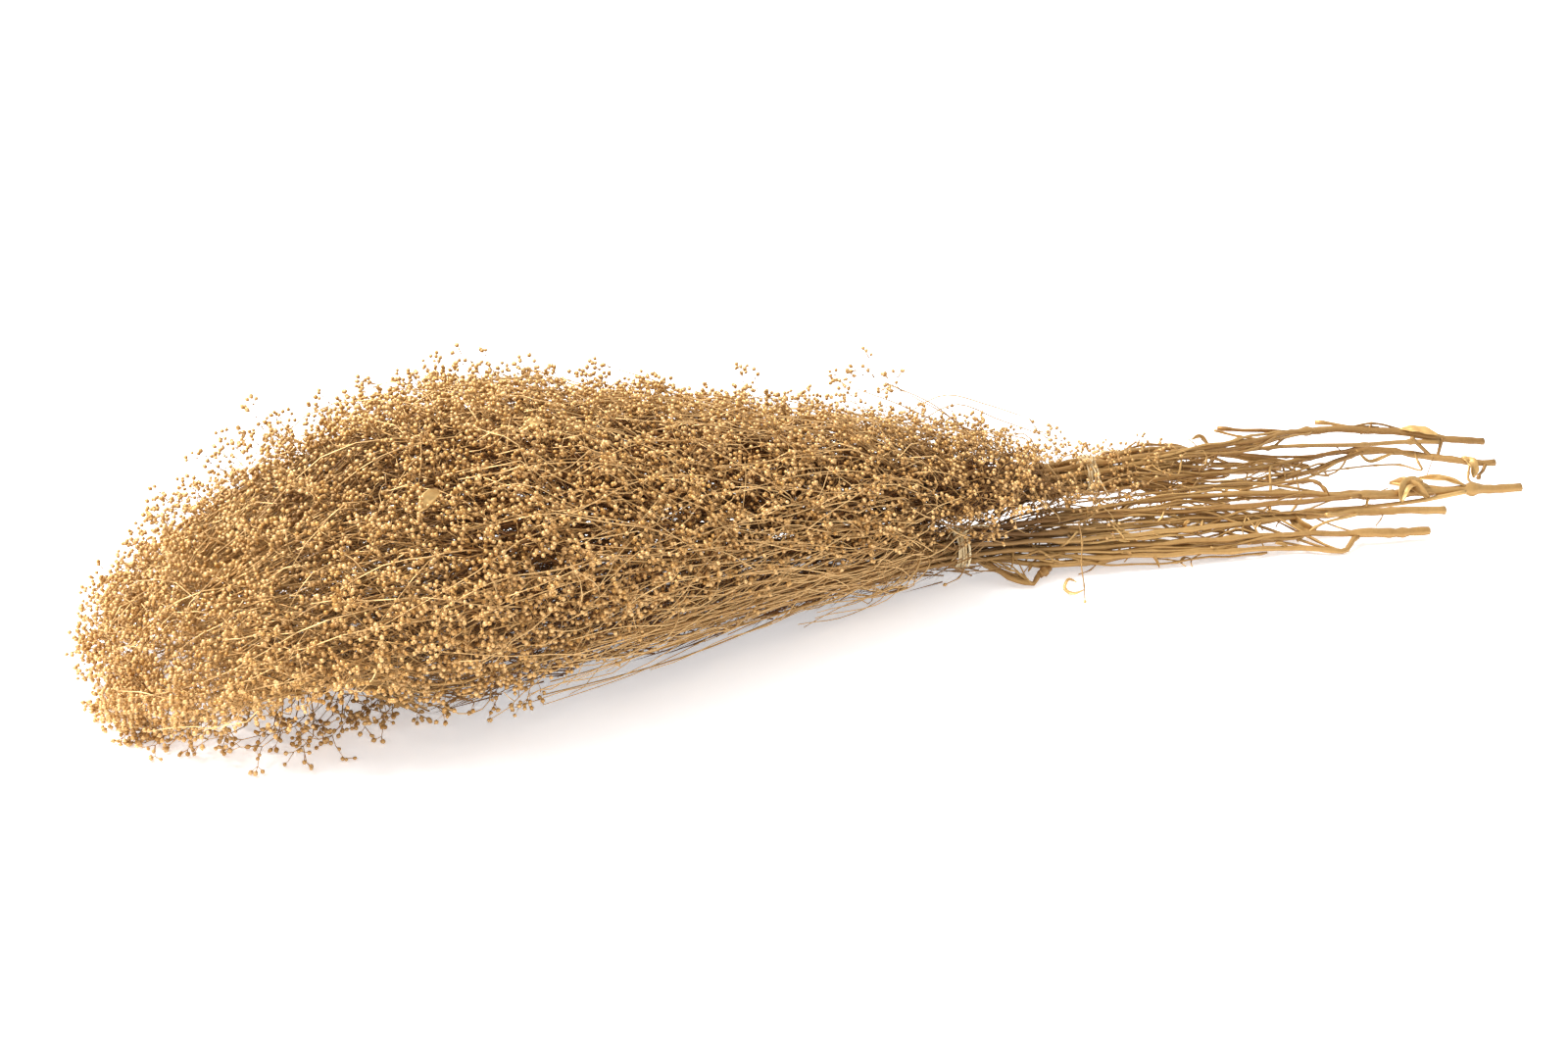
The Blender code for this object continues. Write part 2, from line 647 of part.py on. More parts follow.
def sprigs(bunch, name, seats, stalks, scratch):
    """Forked sprigs that stand out of the core, each root sunk well into it."""
    chance = random.Random(name + " sprigs")
    made, tries = [], 0
    order = spread_out([centre for centre, _ in seats])
    wanted = STEMS[name]["sprigs"]
    while wanted and tries < 900:
        centre, normal = seats[order[tries % len(order)]]
        tries += 1
        choice = chance.randrange(len(SPRIG_LENGTHS))
        length = SPRIG_LENGTHS[choice]
        stray = Vector([chance.uniform(-0.45, 0.45) for _ in range(3)])
        direction = (normal * 0.85 + Vector((-0.75, 0, 0.05)) + stray).normalized()
        root = centre - normal * 0.003 - direction * 0.004
        if not fits(bunch, name, root, direction, length, BUD_RADIUS):
            direction = (direction + Vector((0, 0, 0.5))).normalized()
            if not fits(bunch, name, root, direction, length, BUD_RADIUS):
                continue
        main = add_object(f"{name}_sprig_{tries}", stalks["main"][choice], scratch)
        main.matrix_world = stalk_matrix(root, direction, chance.uniform(0, 2))
        made.append(main)
        wanted -= 1
        knuckle = root + direction * (length * 0.56)
        sideways = direction.orthogonal().normalized()
        sideways.rotate(Matrix.Rotation(chance.uniform(0, math.tau), 3, direction))
        for side in (-1, 1):
            branch = (direction * 0.72 + sideways * side * 0.70).normalized()
            if fits(bunch, name, knuckle, branch, SIDE_STALK_LENGTH, BUD_RADIUS):
                bud = add_object(f"{name}_sprig_{tries}_{side}", stalks["side"], scratch)
                bud.matrix_world = stalk_matrix(knuckle, branch, chance.uniform(0, 2))
                made.append(bud)
    return made


def gypsophila_stem(bunch, name, stalks, target, scratch, material):
    """One whole stem: trunk, two shoots, dense head and sprigs, fused in one body."""
    stem = STEMS[name]
    middle, seats = core(bunch, name, scratch)
    sunk = stem["dense"][0] - 0.048
    pieces = [middle]
    pieces += [shoot_rod(bunch, name, number, sunk, scratch) for number in (0, 1)]
    for i, (low, high) in enumerate(stem["twigs"]):
        points = [Vector(low) + SHIFT, Vector(high) + SHIFT]
        pieces.append(rod(f"{name}_twig_{i}", points, (0.0013, 0.0010), scratch))
    pieces += sprigs(bunch, name, seats, stalks, scratch)
    return fuse(name, pieces, target, scratch, material)


# Raffia bands

def band_outline(bunch, which):
    """A loop drawn tight round the shoots in a band, as y and z pairs."""
    x = BANDS[which]["x"]
    rows = [i for i, owner in enumerate(bunch.owners) if STEMS[owner]["band"] == which]
    rounds = [(bunch.at(i, x + dx), float(np.interp(x, bunch.x[::-1], bunch.radii[i][::-1])))
              for i in rows for dx in (-BAND_WIDTH / 2, 0, BAND_WIDTH / 2)]
    loop = []
    for k in range(BAND_SIDES):
        out = (math.cos(math.tau * k / BAND_SIDES), math.sin(math.tau * k / BAND_SIDES))
        centre, radius = max(rounds, key=lambda c: c[0][0] * out[0] + c[0][1] * out[1] + c[1])
        far = radius + BAND_GAP
        loop.append((centre[0] + far * out[0], centre[1] + far * out[1]))
    return loop


def raffia_band(bunch, which, target, scratch, material):
    """A flat strip round the bundle, with a flat knot on top and two short tails."""
    x, loop = BANDS[which]["x"], band_outline(bunch, which)
    shape = bmesh.new()
    edges = (-BAND_WIDTH / 2, BAND_WIDTH / 2)
    rows = [[shape.verts.new(Vector((x + dx, y, z)) + SHIFT) for y, z in loop] for dx in edges]
    for k in range(BAND_SIDES):
        n = (k + 1) % BAND_SIDES
        shape.faces.new([rows[0][k], rows[0][n], rows[1][n], rows[1][k]])
    mesh = bpy.data.meshes.new("raffia_strip")
    bmesh.ops.recalc_face_normals(shape, faces=shape.faces)
    shape.to_mesh(mesh)
    shape.free()
    strip = add_object("raffia_strip", mesh, scratch)
    wall = strip.modifiers.new("wall", "SOLIDIFY")
    wall.thickness = BAND_THICKNESS
    wall.offset = 1.0
    top = max(loop, key=lambda point: point[1])
    seat = Vector((x, top[0], top[1] + BAND_THICKNESS)) + SHIFT
    knot_mesh = bpy.data.meshes.new("raffia_knot")
    knot = bmesh.new()
    bmesh.ops.create_uvsphere(knot, u_segments=6, v_segments=4, radius=0.0030)
    bmesh.ops.scale(knot, vec=(1.1, 1.0, 0.62), verts=knot.verts)
    bmesh.ops.translate(knot, vec=seat + Vector((0, 0, 0.0008)), verts=knot.verts)
    knot.to_mesh(knot_mesh)
    knot.free()
    pieces = [add_object("raffia_strip_solid", mesh_of(strip), scratch)]
    bpy.data.objects.remove(strip)
    pieces.append(add_object("raffia_knot", knot_mesh, scratch))
    for side in (-1, 1):
        tail = [seat + Vector((side * a, -side * b, c)) for a, b, c in
                ((0, 0, 0.0012), (0.006, 0.002, 0.0042), (0.013, 0.003, 0.0050))]
        pieces.append(rod(f"raffia_tail_{side}", tail, (0.0009, 0.0007, 0.0004), scratch))
    return fuse(f"raffia_band_{which}", pieces, target, scratch, material)


def main():
    for obj in list(bpy.data.objects):
        bpy.data.objects.remove(obj)
    target = bpy.data.collections.new("gypsophila_bunch")
    scratch = bpy.data.collections.new("pieces_to_join")
    for collection in (target, scratch):
        bpy.context.scene.collection.children.link(collection)
    gold = plant_material("gold_sprayed_stem", GOLD_STRAW, 0.55, 0.45)
    raffia = plant_material("raffia", PALE_RAFFIA, 0.15, 0.6)
    stalks = {
        "main": [turned("stalk", stalk_profile(length, True), SPRIG_SIDES, scratch)
                 for length in SPRIG_LENGTHS],
        "side": turned("side_stalk", stalk_profile(SIDE_STALK_LENGTH, False), SPRIG_SIDES, scratch),
    }
    bunch = Bunch()
    for name in STEMS:
        gypsophila_stem(bunch, name, stalks, target, scratch, gold)
    for which in BANDS:
        raffia_band(bunch, which, target, scratch, raffia)
    bpy.data.collections.remove(scratch)


main()
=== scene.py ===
"""The looks of a tied bunch of dried gypsophila, sprayed gold and lying on its side.

Each stem of the frame is replaced by the same stem grown in full: the trunk and its two shoots
on the same paths, thinner side shoots, branches that run forward into the flower head, and forked
sprays that carry the buds. Units are metres, and millimetres in the tables of points and in what
MM multiplies. +Z is up, the cut ends point along +X.
"""

import itertools
import math

import bpy
import numpy as np
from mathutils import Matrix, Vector


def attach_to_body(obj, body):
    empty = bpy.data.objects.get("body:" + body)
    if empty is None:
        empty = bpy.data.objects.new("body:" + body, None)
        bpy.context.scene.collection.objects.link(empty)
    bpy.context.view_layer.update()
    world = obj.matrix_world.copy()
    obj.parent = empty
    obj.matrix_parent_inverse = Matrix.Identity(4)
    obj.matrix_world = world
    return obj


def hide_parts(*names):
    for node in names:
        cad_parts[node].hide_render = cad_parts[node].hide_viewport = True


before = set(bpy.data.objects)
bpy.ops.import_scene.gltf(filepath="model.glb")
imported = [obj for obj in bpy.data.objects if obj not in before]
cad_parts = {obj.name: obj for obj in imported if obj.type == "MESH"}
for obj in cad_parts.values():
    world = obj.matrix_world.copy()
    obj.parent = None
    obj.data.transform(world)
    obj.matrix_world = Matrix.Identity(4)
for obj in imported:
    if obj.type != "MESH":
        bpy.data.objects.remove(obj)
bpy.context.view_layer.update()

MM = 0.001

# Where the drawing's zero lies in the finished part.
SHIFT = np.array((-0.0206, 0.0322, 0.0))

# The outline of all the flower heads together, cut across the bunch at each x:
# x, y of the middle, half width, height above the table.
HEAD_OUTLINE = np.array((
    (210, -22, 40, 44), (150, -22, 48, 56), (80, -19, 55, 78), (20, -17, 66, 94), (-40, -20, 80, 108),
    (-100, -24, 100, 122), (-160, -29, 116, 134), (-220, -34, 124, 130), (-270, -34, 122, 112),
    (-310, -33, 108, 86), (-340, -32, 82, 64), (-362, -31, 44, 44),
)) / 1000
TABLE_CUT = 1.16  # the oval's height over the head's: the table cuts off its lowest part
HEAD_START, HEAD_TIP = HEAD_OUTLINE[0, 0], HEAD_OUTLINE[-1, 0]
BLUNT_END = -0.334  # past this x the head closes over its open end

# Each raffia band: where it is, how far from its middle the shoots sit in it, where its bundle has
# opened out, and the first place, from the cut ends on, where branches leave its shoots.
BANDS = {
    "front": {"x": 0.076, "y": -0.044, "z": 0.0195, "seat": 0.0074, "opened_at": -0.12,
              "branches_from": 0.078},
    "back": {"x": 0.166, "y": -0.013, "z": 0.0345, "seat": 0.0078, "opened_at": -0.06,
             "branches_from": 0.250},
}

# Each stem, in millimetres: its band, the radius at the cut end, where its head starts and ends,
# its two seats in the band (degrees, 0 back, 90 up) and in the head (across, up, as shares of the
# half sizes), the trunk from the cut end to the joint, what each shoot passes on its way to the
# band, and its broken side twigs.
STEMS = (
    {"band": "back", "butt": 2.1, "dense": (156, -344), "seats": (118, 152),
     "head": ((0.1, 0.56), (0.34, 0.54)),
     "trunk": ((406, -28, 22.5), (387, -23, 25), (352, -6, 31), (309, 2, 33)),
     "routes": (((262, -10, 37), (222, -12, 39)),
                ((276, 2, 29), (240, -6, 32), (215, -14, 37))),
     "twigs": (((298, 2, 34), (262, 15, 37)), ((352, -6, 31), (322, 12, 33)))},
    {"band": "back", "butt": 2.1, "dense": (154, -340), "seats": (196, 238),
     "head": ((0.1, -0.42), (0.34, -0.44)),
     "trunk": ((405, -41, 15), (390, -36, 15.5), (368, -17, 17.5), (342, -8, 21)),
     "routes": (((296, -12, 22.5), (250, -19, 25), (210, -21, 29)),
                ((300, -17, 16), (250, -24, 19), (210, -20, 24))),
     "twigs": (((400, -39.5, 15.2), (391, -46, 10)),)},
    {"band": "back", "butt": 1.7, "dense": (154, -326), "seats": (76, 38),
     "head": ((0.6, 0.44), (0.8, 0.22)),
     "trunk": ((307, -8, 15), (289, -1, 20), (258, 4, 26)),
     "routes": (((214, -1, 40),),
                ((214, 3, 34),)),
     "twigs": ()},
    {"band": "back", "butt": 1.8, "dense": (150, -334), "seats": (280, 322),
     "head": ((0.6, -0.4), (0.82, -0.26)),
     "trunk": ((300, 10, 10), (275, 6, 13), (250, 1, 18)),
     "routes": (((214, -9, 25),),
                ((214, -2, 28),)),
     "twigs": ()},
    {"band": "front", "butt": 2.6, "dense": (72, -350), "seats": (32, 72),
     "head": ((-0.36, 0.6), (-0.13, 0.58)),
     "trunk": ((404, -67, 10), (377, -60, 11), (340, -58, 14), (306, -60, 18)),
     "routes": (((270, -52, 22.5), (232, -45, 25), (188, -39, 26), (132, -37, 24.5)),
                ((276, -63, 21), (232, -56, 22), (188, -50, 23.5), (132, -44, 26))),
     "twigs": (((372, -60, 11.2), (345, -49, 15)),)},
    {"band": "front", "butt": 2.2, "dense": (64, -338), "seats": (114, 154),
     "head": ((-0.62, 0.44), (-0.81, 0.22)),
     "trunk": ((349, -76, 9), (322, -68, 10.5), (272, -60, 12)),
     "routes": (((225, -54, 16.5), (180, -51, 18), (130, -50, 20)),
                ((230, -63, 15), (180, -58, 16), (130, -54, 18))),
     "twigs": (((300, -64.5, 11.2), (276, -74, 17)),)},
    {"band": "front", "butt": 2.6, "dense": (15, -350), "seats": (192, 222),
     "head": ((-0.6, -0.42), (-0.82, -0.28)),
     "trunk": ((331, -88, 4.5), (310, -84, 5), (292, -79, 5.5)),
     "routes": (((265, -74, 9), (224, -68, 10), (150, -56, 12)),
                ((282, -88, 1.8), (258, -78, 3), (210, -72, 6), (150, -60, 8))),
     "twigs": ()},
    {"band": "front", "butt": 2, "dense": (0, -352), "seats": (256, 300),
     "head": ((-0.36, -0.44), (-0.13, -0.46)),
     "trunk": ((262, -65, 3.5), (215, -60, 4.5), (170, -55, 5), (121, -54, 5.5)),
     "routes": (((110, -50, 8),),
                ((106, -66, 1.8),)),
     "twigs": ()},
)
STEM_NAMES = [f"gypsophila_stem_{number}" for number in range(1, len(STEMS) + 1)]


def metres(table):
    """A table in millimetres, in metres."""
    return tuple(map(metres, table)) if isinstance(table, tuple) else table / 1000


for stem in STEMS:
    stem["tie"] = BANDS[stem["band"]]
    for key in ("butt", "dense", "trunk", "routes", "twigs"):
        stem[key] = metres(stem[key])
    stem["joint"] = stem["trunk"][-1][0]

# Shoots: their radii, their swollen joints, the places at which their course is worked out from
# the cut ends to the tips, and how they are pushed apart there until they clear each other.
SHOOT_RADIUS, SHOOT_TIP_RADIUS, SIDE_SHOOT_RADIUS = 1.5 * MM, 0.6 * MM, 0.75 * MM
JOINT_SPACING, JOINT_SWELL, JOINT_HALF_LENGTH = 0.070, 1.55, 0.0045
STATION_STEP = 0.010
STATIONS = np.round(np.arange(0.41, -0.38, -STATION_STEP), 4)
CLEARANCE = 0.0004
SETTLE_ROUNDS, EASE_ROUNDS, PUSH_ROUNDS = 120, 8, 60

# A bud is 2.3 mm across. The stalks are drawn a little thick, or they would not show.
BUD_RADIUS = 1.13 * MM
STALK_RADIUS, ARM_RADIUS = 0.20 * MM, 0.24 * MM
ARM_LENGTHS = (8.5 * MM, 6.5 * MM, 5.0 * MM)
STALK_LENGTH = (3.0 * MM, 6.0 * MM)
FORKS, SPRAY_LENGTH = 3, 20.0 * MM
TWIG_LIFT = 1.2 * MM  # how far the middle of a twig stays above the table
LAST_TWIG_X = HEAD_TIP + 12 * MM  # where twigs on the outline end at the latest

# A spray hangs on the nearest place at least so far behind it, on a path of so many points.
LEAST_BEHIND, CARRIER_POINTS = 6.0 * MM, 30
BATCH = 200  # how many sprays look for their places at once, to save memory

# How far apart sprays and branches stand, and how many there are of each kind of shoot and twig.
OUTER_SPACING, INNER_SPACING, FRINGE_SPACING = 11.65 * MM, 16.6 * MM, 34.0 * MM
BRANCH_SPACING = 25.0 * MM
SIDE_SHOOTS, EDGE_SHOOTS, STRAY_SHOOTS = 5, 34, 96
SURFACE_TWIGS, SHORT_TWIGS, THICKET_TWIGS, LITTER = 300, 500, 9200, 240

# How readily each stem takes the next branch: under 1 draws more to a stem with little room.
PULL = np.array((1.18, 0.74, 1.20, 1.02, 1.00, 1.04, 0.74, 0.60))
TOO_FAR = 9.0  # metres, for a shoot that can not carry the branch

# How deep the hollows are: the one under the open end, the dark one low in front, at its x and its
# angle round the oval, and how deep the cloud lies below the sprays that stand at its end's top.
UNDER_HOLLOW, FRONT_HOLLOW, AIRY = 28.0 * MM, 13.0 * MM, 9.0 * MM
DARK_X, DARK_TURN = -0.115, 3.42

# Side twigs, broken or bent, one by one, in millimetres: radius at the start and at the end, and
# the points that they pass, with a knot at each point between.
SIDE_TWIGS = (
    (0.75, 0.45, ((378, -19, 26.2), (364, -10, 30), (348, -4, 34), (336, -1, 32.5), (324, 1, 31.5),
     (308, 4, 31), (297, 6, 33.3))),
    (0.50, 1.15, ((299, 3, 33.5), (280, 6, 30.1), (260, 6, 26.2))),
    (0.55, 0.80, ((292, 6, 29), (276, 14, 30.5), (263, 20, 34))),
    (0.70, 0.60, ((341.5, -5, 29), (339, -4, 32.5))),
    (0.70, 0.50, ((343, -5, 29), (347.5, -5, 33.5))),
    (0.60, 0.45, ((368, -18, 19), (365.5, -26, 16), (366.7, -28, 13), (359, -18, 12.9), (348, -12, 12.2),
     (331, -10, 12.3), (305, -8, 12.3), (281, -6, 14.6))),
    (0.80, 0.30, ((391.5, -37, 16.5), (388, -41, 11.5), (386.2, -44, 9.4), (393, -50, 7))),
    (1.20, 1.10, ((365, -18, 28), (374.6, -23, 18))),
    (1.15, 0.95, ((382, -23, 27), (378.4, -25, 17.8))),
    (0.95, 0.60, ((288, -58, 19), (287.2, -54, 22.8), (283.5, -51, 26.2), (271, -48, 27.2),
     (240, -46, 26.2))),
    (0.80, 0.70, ((300, -68, 11.5), (271.1, -72, 10), (260, -73, 4.5))),
    (0.45, 0.30, ((142, -51, 26), (138.5, -62, 19), (134, -70, 12), (129.7, -81.7, 4.5),
     (123.6, -94, 2.2))),
    (0.40, 0.25, ((79, -50, 13), (73, -54, 7.5), (66.5, -53.5, 5))),
    (0.45, 0.35, ((222, -61, 8), (213, -64, 5), (206, -66, 3.2), (200, -68, 2), (196, -75, 1.2))),
    (0.30, 0.25, ((361, -41, 15), (373.4, -28, 18.5))),
    (0.30, 0.25, ((312.5, -60, 17.5), (328.1, -53, 16.5))),
    (0.35, 0.30, ((288, -58, 20), (285.6, -58, 24.5))),
    (1.35, 0.95, ((380, -23.5, 25.2), (365.2, -18, 25.6), (337.6, -12, 25.8), (302.4, -8, 29),
     (286.5, -4, 29.2), (256.6, 2, 27.2))),
    (0.80, 0.60, ((340, -10, 24), (318, -12, 23.5), (290, -10, 25), (260, -6, 30), (220, -8, 34))),
    (0.70, 0.55, ((280.4, -20, 13), (296, -20, 12.8), (306.9, -20, 10.7), (309.1, -22, 6))),
    (1.70, 2.10, ((123.5, -56, 5), (119.5, -58, 4.8), (116, -60, 4.4))),
    (1.30, 0.90, ((369.6, -65, 12.5), (347.8, -62, 10.5), (311.5, -60, 11), (275.5, -58, 13.5),
     (239.8, -56, 13), (185.2, -55, 15.6))),
)
BUD_TIPPED = (11, 12)  # which of them end in a bud

# Dead leaves and scales, in millimetres: width, how sharply they fold, in radians, and the points
# along their midrib.
LEAVES = (
    (6.0, 1.0, ((350, -46, 16), (361, -55, 17.2), (372, -61.5, 14))),
    (8.5, 0.7, ((346, -66, 12.5), (338.6, -59, 18.5), (333, -47, 16.5))),
    (9.0, 0.7, ((328, -66, 13), (334, -60, 19), (348, -56, 18))),
    (7.0, 0.8, ((356, -60, 10), (345, -59, 15), (337, -54, 17))),
    (2.8, 0.5, ((336, -9, 22), (343, -12, 15), (352, -14, 17.5), (357, -15, 19))),
    (7.5, 0.7, ((388, -33.5, 18.5), (390.5, -40, 15), (389, -44, 10))),
    (6.0, 0.6, ((379, -23, 29), (370, -17, 31), (362, -11, 31))),
    (9.0, 0.9, ((264.8, -56.2, 13), (268, -66, 8), (274, -70, 6))),
    (3.2, 0.6, ((250, 3, 33), (246, 6, 37.5), (240, 5, 37))),
    (2.2, 0.4, ((288.6, -8, 19), (295.3, -7, 16.5), (298.6, -6, 11), (298, -6, 7.1))),
    (1.8, 0.3, ((128.3, -85, 4), (123.1, -84, 2.2), (121.4, -76.5, 3), (123.9, -75, 6),
     (125.4, -81.5, 7.2))),
    (1.6, 0.4, ((200, -68, 2.2), (197, -66.5, 3), (192.5, -70, 1.8), (193.5, -73.5, 1.2))),
    (6.5, 0.3, ((-208, -96, 112.5), (-214, -100, 112), (-220, -103, 107.5))),
    (5.0, 0.4, ((-147, -60, 123.5), (-152, -61, 125), (-157, -61, 122.5))),
)

# Sprays that stand clear of the rest: forks, size, and the points that their twig passes, in
# millimetres.
LOOSE_SPRAYS = (
    (3, 1.05, ((104, 0, 62), (84, 4, 80), (64, 8, 91))),
    (3, 0.90, ((108, 0, 60), (92, 4, 73), (75, 6, 84))),
    (3, 0.95, ((84, 0, 72), (62, 4, 84), (46, 8, 91))),
    (3, 0.90, ((66, 2, 76), (90, 4, 83.5), (116, 6, 74.5), (135, 6, 66))),
    (2, 0.90, ((70, 0, 70), (96, 3, 78), (124, 5, 65), (143, 5, 56))),
    (2, 0.95, ((-118, 4, 110), (-136, 8, 121), (-149, 10, 128))),
    (2, 0.90, ((-52, 2, 104), (-68, 7, 113), (-81, 10, 118))),
    (2, 0.90, ((-166, 4, 116), (-184, 8, 122), (-198, 10, 126))),
    (3, 1.00, ((-226, 4, 96), (-242, 8, 104), (-254, 10, 110))),
)

# Where sprays that lie on the table, in front of the head, end.
TABLE_TIPS = np.array((
    (-352.6, -78.2), (-325.4, -95.1), (-310.8, -117.1), (-292.1, -121.9), (-275.1, -116.4),
    (-240.7, -114.9), (-322.8, -63.6), (-355.6, -49.6), (-218.6, -102.3), (-338, -86), (-258, -108),
    (-300, -101), (-233, -106), (-245, -96), (-279, -104), (-212, -94),
)) / 1000

# The raffia: strands side by side in each tie, their spacing and radius, and its frayed ends.
STRANDS, FRAYED = 5, 14
STRAND_SPACING, STRAND_RADIUS = 1.15 * MM, 0.66 * MM

# Sizes of the patterns on the materials: patches of shade, the height of the spray's speckle,
# and the raffia's fibres, drawn coarse enough to show.
PATCH_SIZE, SPECKLE_HEIGHT = 40 * MM, 0.12 * MM
FIBRE_WIDTH, FIBRE_HEIGHT = 0.25 * MM, 0.10 * MM

# Rings of a bud, as (radius, height) in bud radii, and the height of its tip.
FINE_BUD = (((0.34, -1.00), (0.82, -0.55), (1.00, 0.05), (0.74, 0.66), (0.32, 1.00)), 1.32)
PLAIN_BUD = (((0.62, -0.82), (1.03, 0.10)), 1.18)
DEEP_BUD = (((0.80, -0.60), (0.95, 0.35)), 1.20)

TWIG, BUD, WOOD = range(3)

# The photograph's view: degrees round from straight in front and up from level, and metres.
CAMERA_AZIMUTH, CAMERA_ELEVATION, CAMERA_DISTANCE = -23, 22, 1.55


# Curves and sections

def hermite(t, start, leave, end, arrive):
    """A cubic from start to end as t goes from 0 to 1, with the given slopes at its two ends."""
    return (
        (1 + 2 * t) * (1 - t) ** 2 * start
        + t * (1 - t) ** 2 * leave
        + t * t * (3 - 2 * t) * end
        - t * t * (1 - t) * arrive
    )


def smooth_curve(knots, values, at):
    """Values at the given places on a smooth curve through the knots, which run either way."""
    order = np.argsort(knots)
    x = np.asarray(knots, float)[order]
    v = np.asarray(values, float)[order]
    slope = np.gradient(v, x)
    at = np.clip(at, x[0], x[-1])
    i = np.clip(np.searchsorted(x, at) - 1, 0, len(x) - 2)
    width = x[i + 1] - x[i]
    return hermite((at - x[i]) / width, v[i], width * slope[i], v[i + 1], width * slope[i + 1])


def head_section(x):
    """Middle y, middle z, half width and half height of the heads' oval outline at x."""
    knots, *columns = HEAD_OUTLINE.T
    middle, half_width, height = (smooth_curve(knots, column, x) for column in columns)
    half_height = height * TABLE_CUT / 2
    return middle, height - half_height, half_width, half_height


def rise(x, start, width):
    """Rises smoothly from 0 at the start to 1 a width further on; a width under 0 runs back."""
    t = np.clip((x - start) / width, 0.0, 1.0)
    return t * t * (3 - 2 * t)


def through(points, steps):
    """A smooth curve through a few points, the way along it, and where the points lie on it."""
    points = np.array(points, float)
    along = np.concatenate([[0], np.cumsum(np.linalg.norm(np.diff(points, axis=0), axis=1))])
    t = np.linspace(0, along[-1], steps)
    return np.stack([smooth_curve(along, column, t) for column in points.T], -1), t, along


def taper(first, last, steps):
    """Radii that run evenly from the first to the last, both given in millimetres."""
    return MM * np.linspace(first, last, steps)


def unit(vectors):
    """The same directions at length 1."""
    return vectors / np.maximum(np.linalg.norm(vectors, axis=-1, keepdims=True), 1e-12)


def stray(chance, count):
    """Random directions, evenly over a sphere."""
    return unit(chance.normal(size=(count, 3)))


def seat_in(band, out, turn):
    """y and z at a distance and an angle from the middle of a band."""
    return band["y"] + out * math.cos(turn), band["z"] + out * math.sin(turn)


def shoot_route(stem, number):
    """Knots of one shoot, from the cut end through the band and out into the head."""
    band = stem["tie"]
    seat = seat_in(band, band["seat"], math.radians(stem["seats"][number]))
    knots = list(stem["trunk"] if number == 0 else stem["trunk"][-1:])
    knots += stem["routes"][number]
    knots.append((band["x"] + 0.011, *seat))
    return np.array(knots + onward(stem, seat, stem["head"][number]))


def onward(stem, seat, shares):
    """Knots of a shoot from its seat in the band along the flow of the head to its end."""
    band = stem["tie"]
    knots = []
    for x in np.arange(band["x"], stem["dense"][1] - 0.04, -0.02):
        opened = rise(x, band["x"], band["opened_at"] - band["x"])
        y, z, half_width, half_height = head_section(x)
        free = (y + shares[0] * half_width, z + shares[1] * half_height)
        knots.append((x, *(seat[i] * (1 - opened) + free[i] * opened for i in (0, 1))))
    return knots


def shoot_radius(stem, number, x, reach=0.0):
    """Radius along a shoot, swelled at its joints; the first one is also the trunk."""
    x = np.asarray(x, float)
    joint = stem["joint"]
    along = np.clip((joint - x) / (joint - stem["dense"][1]), 0, 1)
    radius = SHOOT_RADIUS + (SHOOT_TIP_RADIUS - SHOOT_RADIUS) * along
    first = joint
    if number == 0:
        radius = np.where(x > joint, stem["butt"], radius)
        first = stem["trunk"][0][0] - 0.018
    before = np.arange(joint, first, JOINT_SPACING)[::-1]
    for place in (*before, *np.arange(joint, stem["dense"][0], -JOINT_SPACING)[1:]):
        near = np.clip(1 - (np.abs(x - place) - reach) / JOINT_HALF_LENGTH, 0, 1)
        radius = radius * (1 + (JOINT_SWELL - 1) * near)
    return radius


def settle(routes, owners, radii, joints):
    """Pushes the shoots apart wherever they would cross, and up off the table.

    Each row of routes is one shoot's y and z at every station, with nan past its cut end."""
    y, z = routes[:, 0].copy(), routes[:, 1].copy()
    for turn in range(SETTLE_ROUNDS):
        for i, j in itertools.combinations(range(len(owners)), 2):
            gap = radii[i] + radii[j] + CLEARANCE
            if owners[i] == owners[j]:
                gap = np.where(STATIONS > joints[i] - 0.03, 0.0, gap)
            both = np.isfinite(y[i]) & np.isfinite(y[j])
            dy = np.where(both, y[j] - y[i], 0.0)
            dz = np.where(both, z[j] - z[i], 1.0)
            apart = np.hypot(dy, dz) + 1e-9
            push = 0.5 * np.clip(gap * 1.08 - apart, 0, None) / apart
            y[i] -= dy * push
            z[i] -= dz * push
            y[j] += dy * push
            z[j] += dz * push
        z = np.where(z < radii + 0.0002, radii + 0.0002, z)
        if turn >= EASE_ROUNDS:
            continue
        for values in (y, z):
            eased = 0.5 * values[:, 1:-1] + 0.25 * (values[:, :-2] + values[:, 2:])
            bend = np.abs(values[:, :-2] + values[:, 2:] - 2 * values[:, 1:-1])
            straighten = np.isfinite(eased) & (bend < 0.0012)
            values[:, 1:-1] = np.where(straighten, eased, values[:, 1:-1])
    return y, z


def sampled(knots):
    """y and z of a route at every station, nan from the second one before its start."""
    before = STATIONS > knots[:, 0].max() + STATION_STEP - 1e-6
    return [np.where(before, np.nan, smooth_curve(knots[:, 0], knots[:, i], STATIONS))
            for i in (1, 2)]


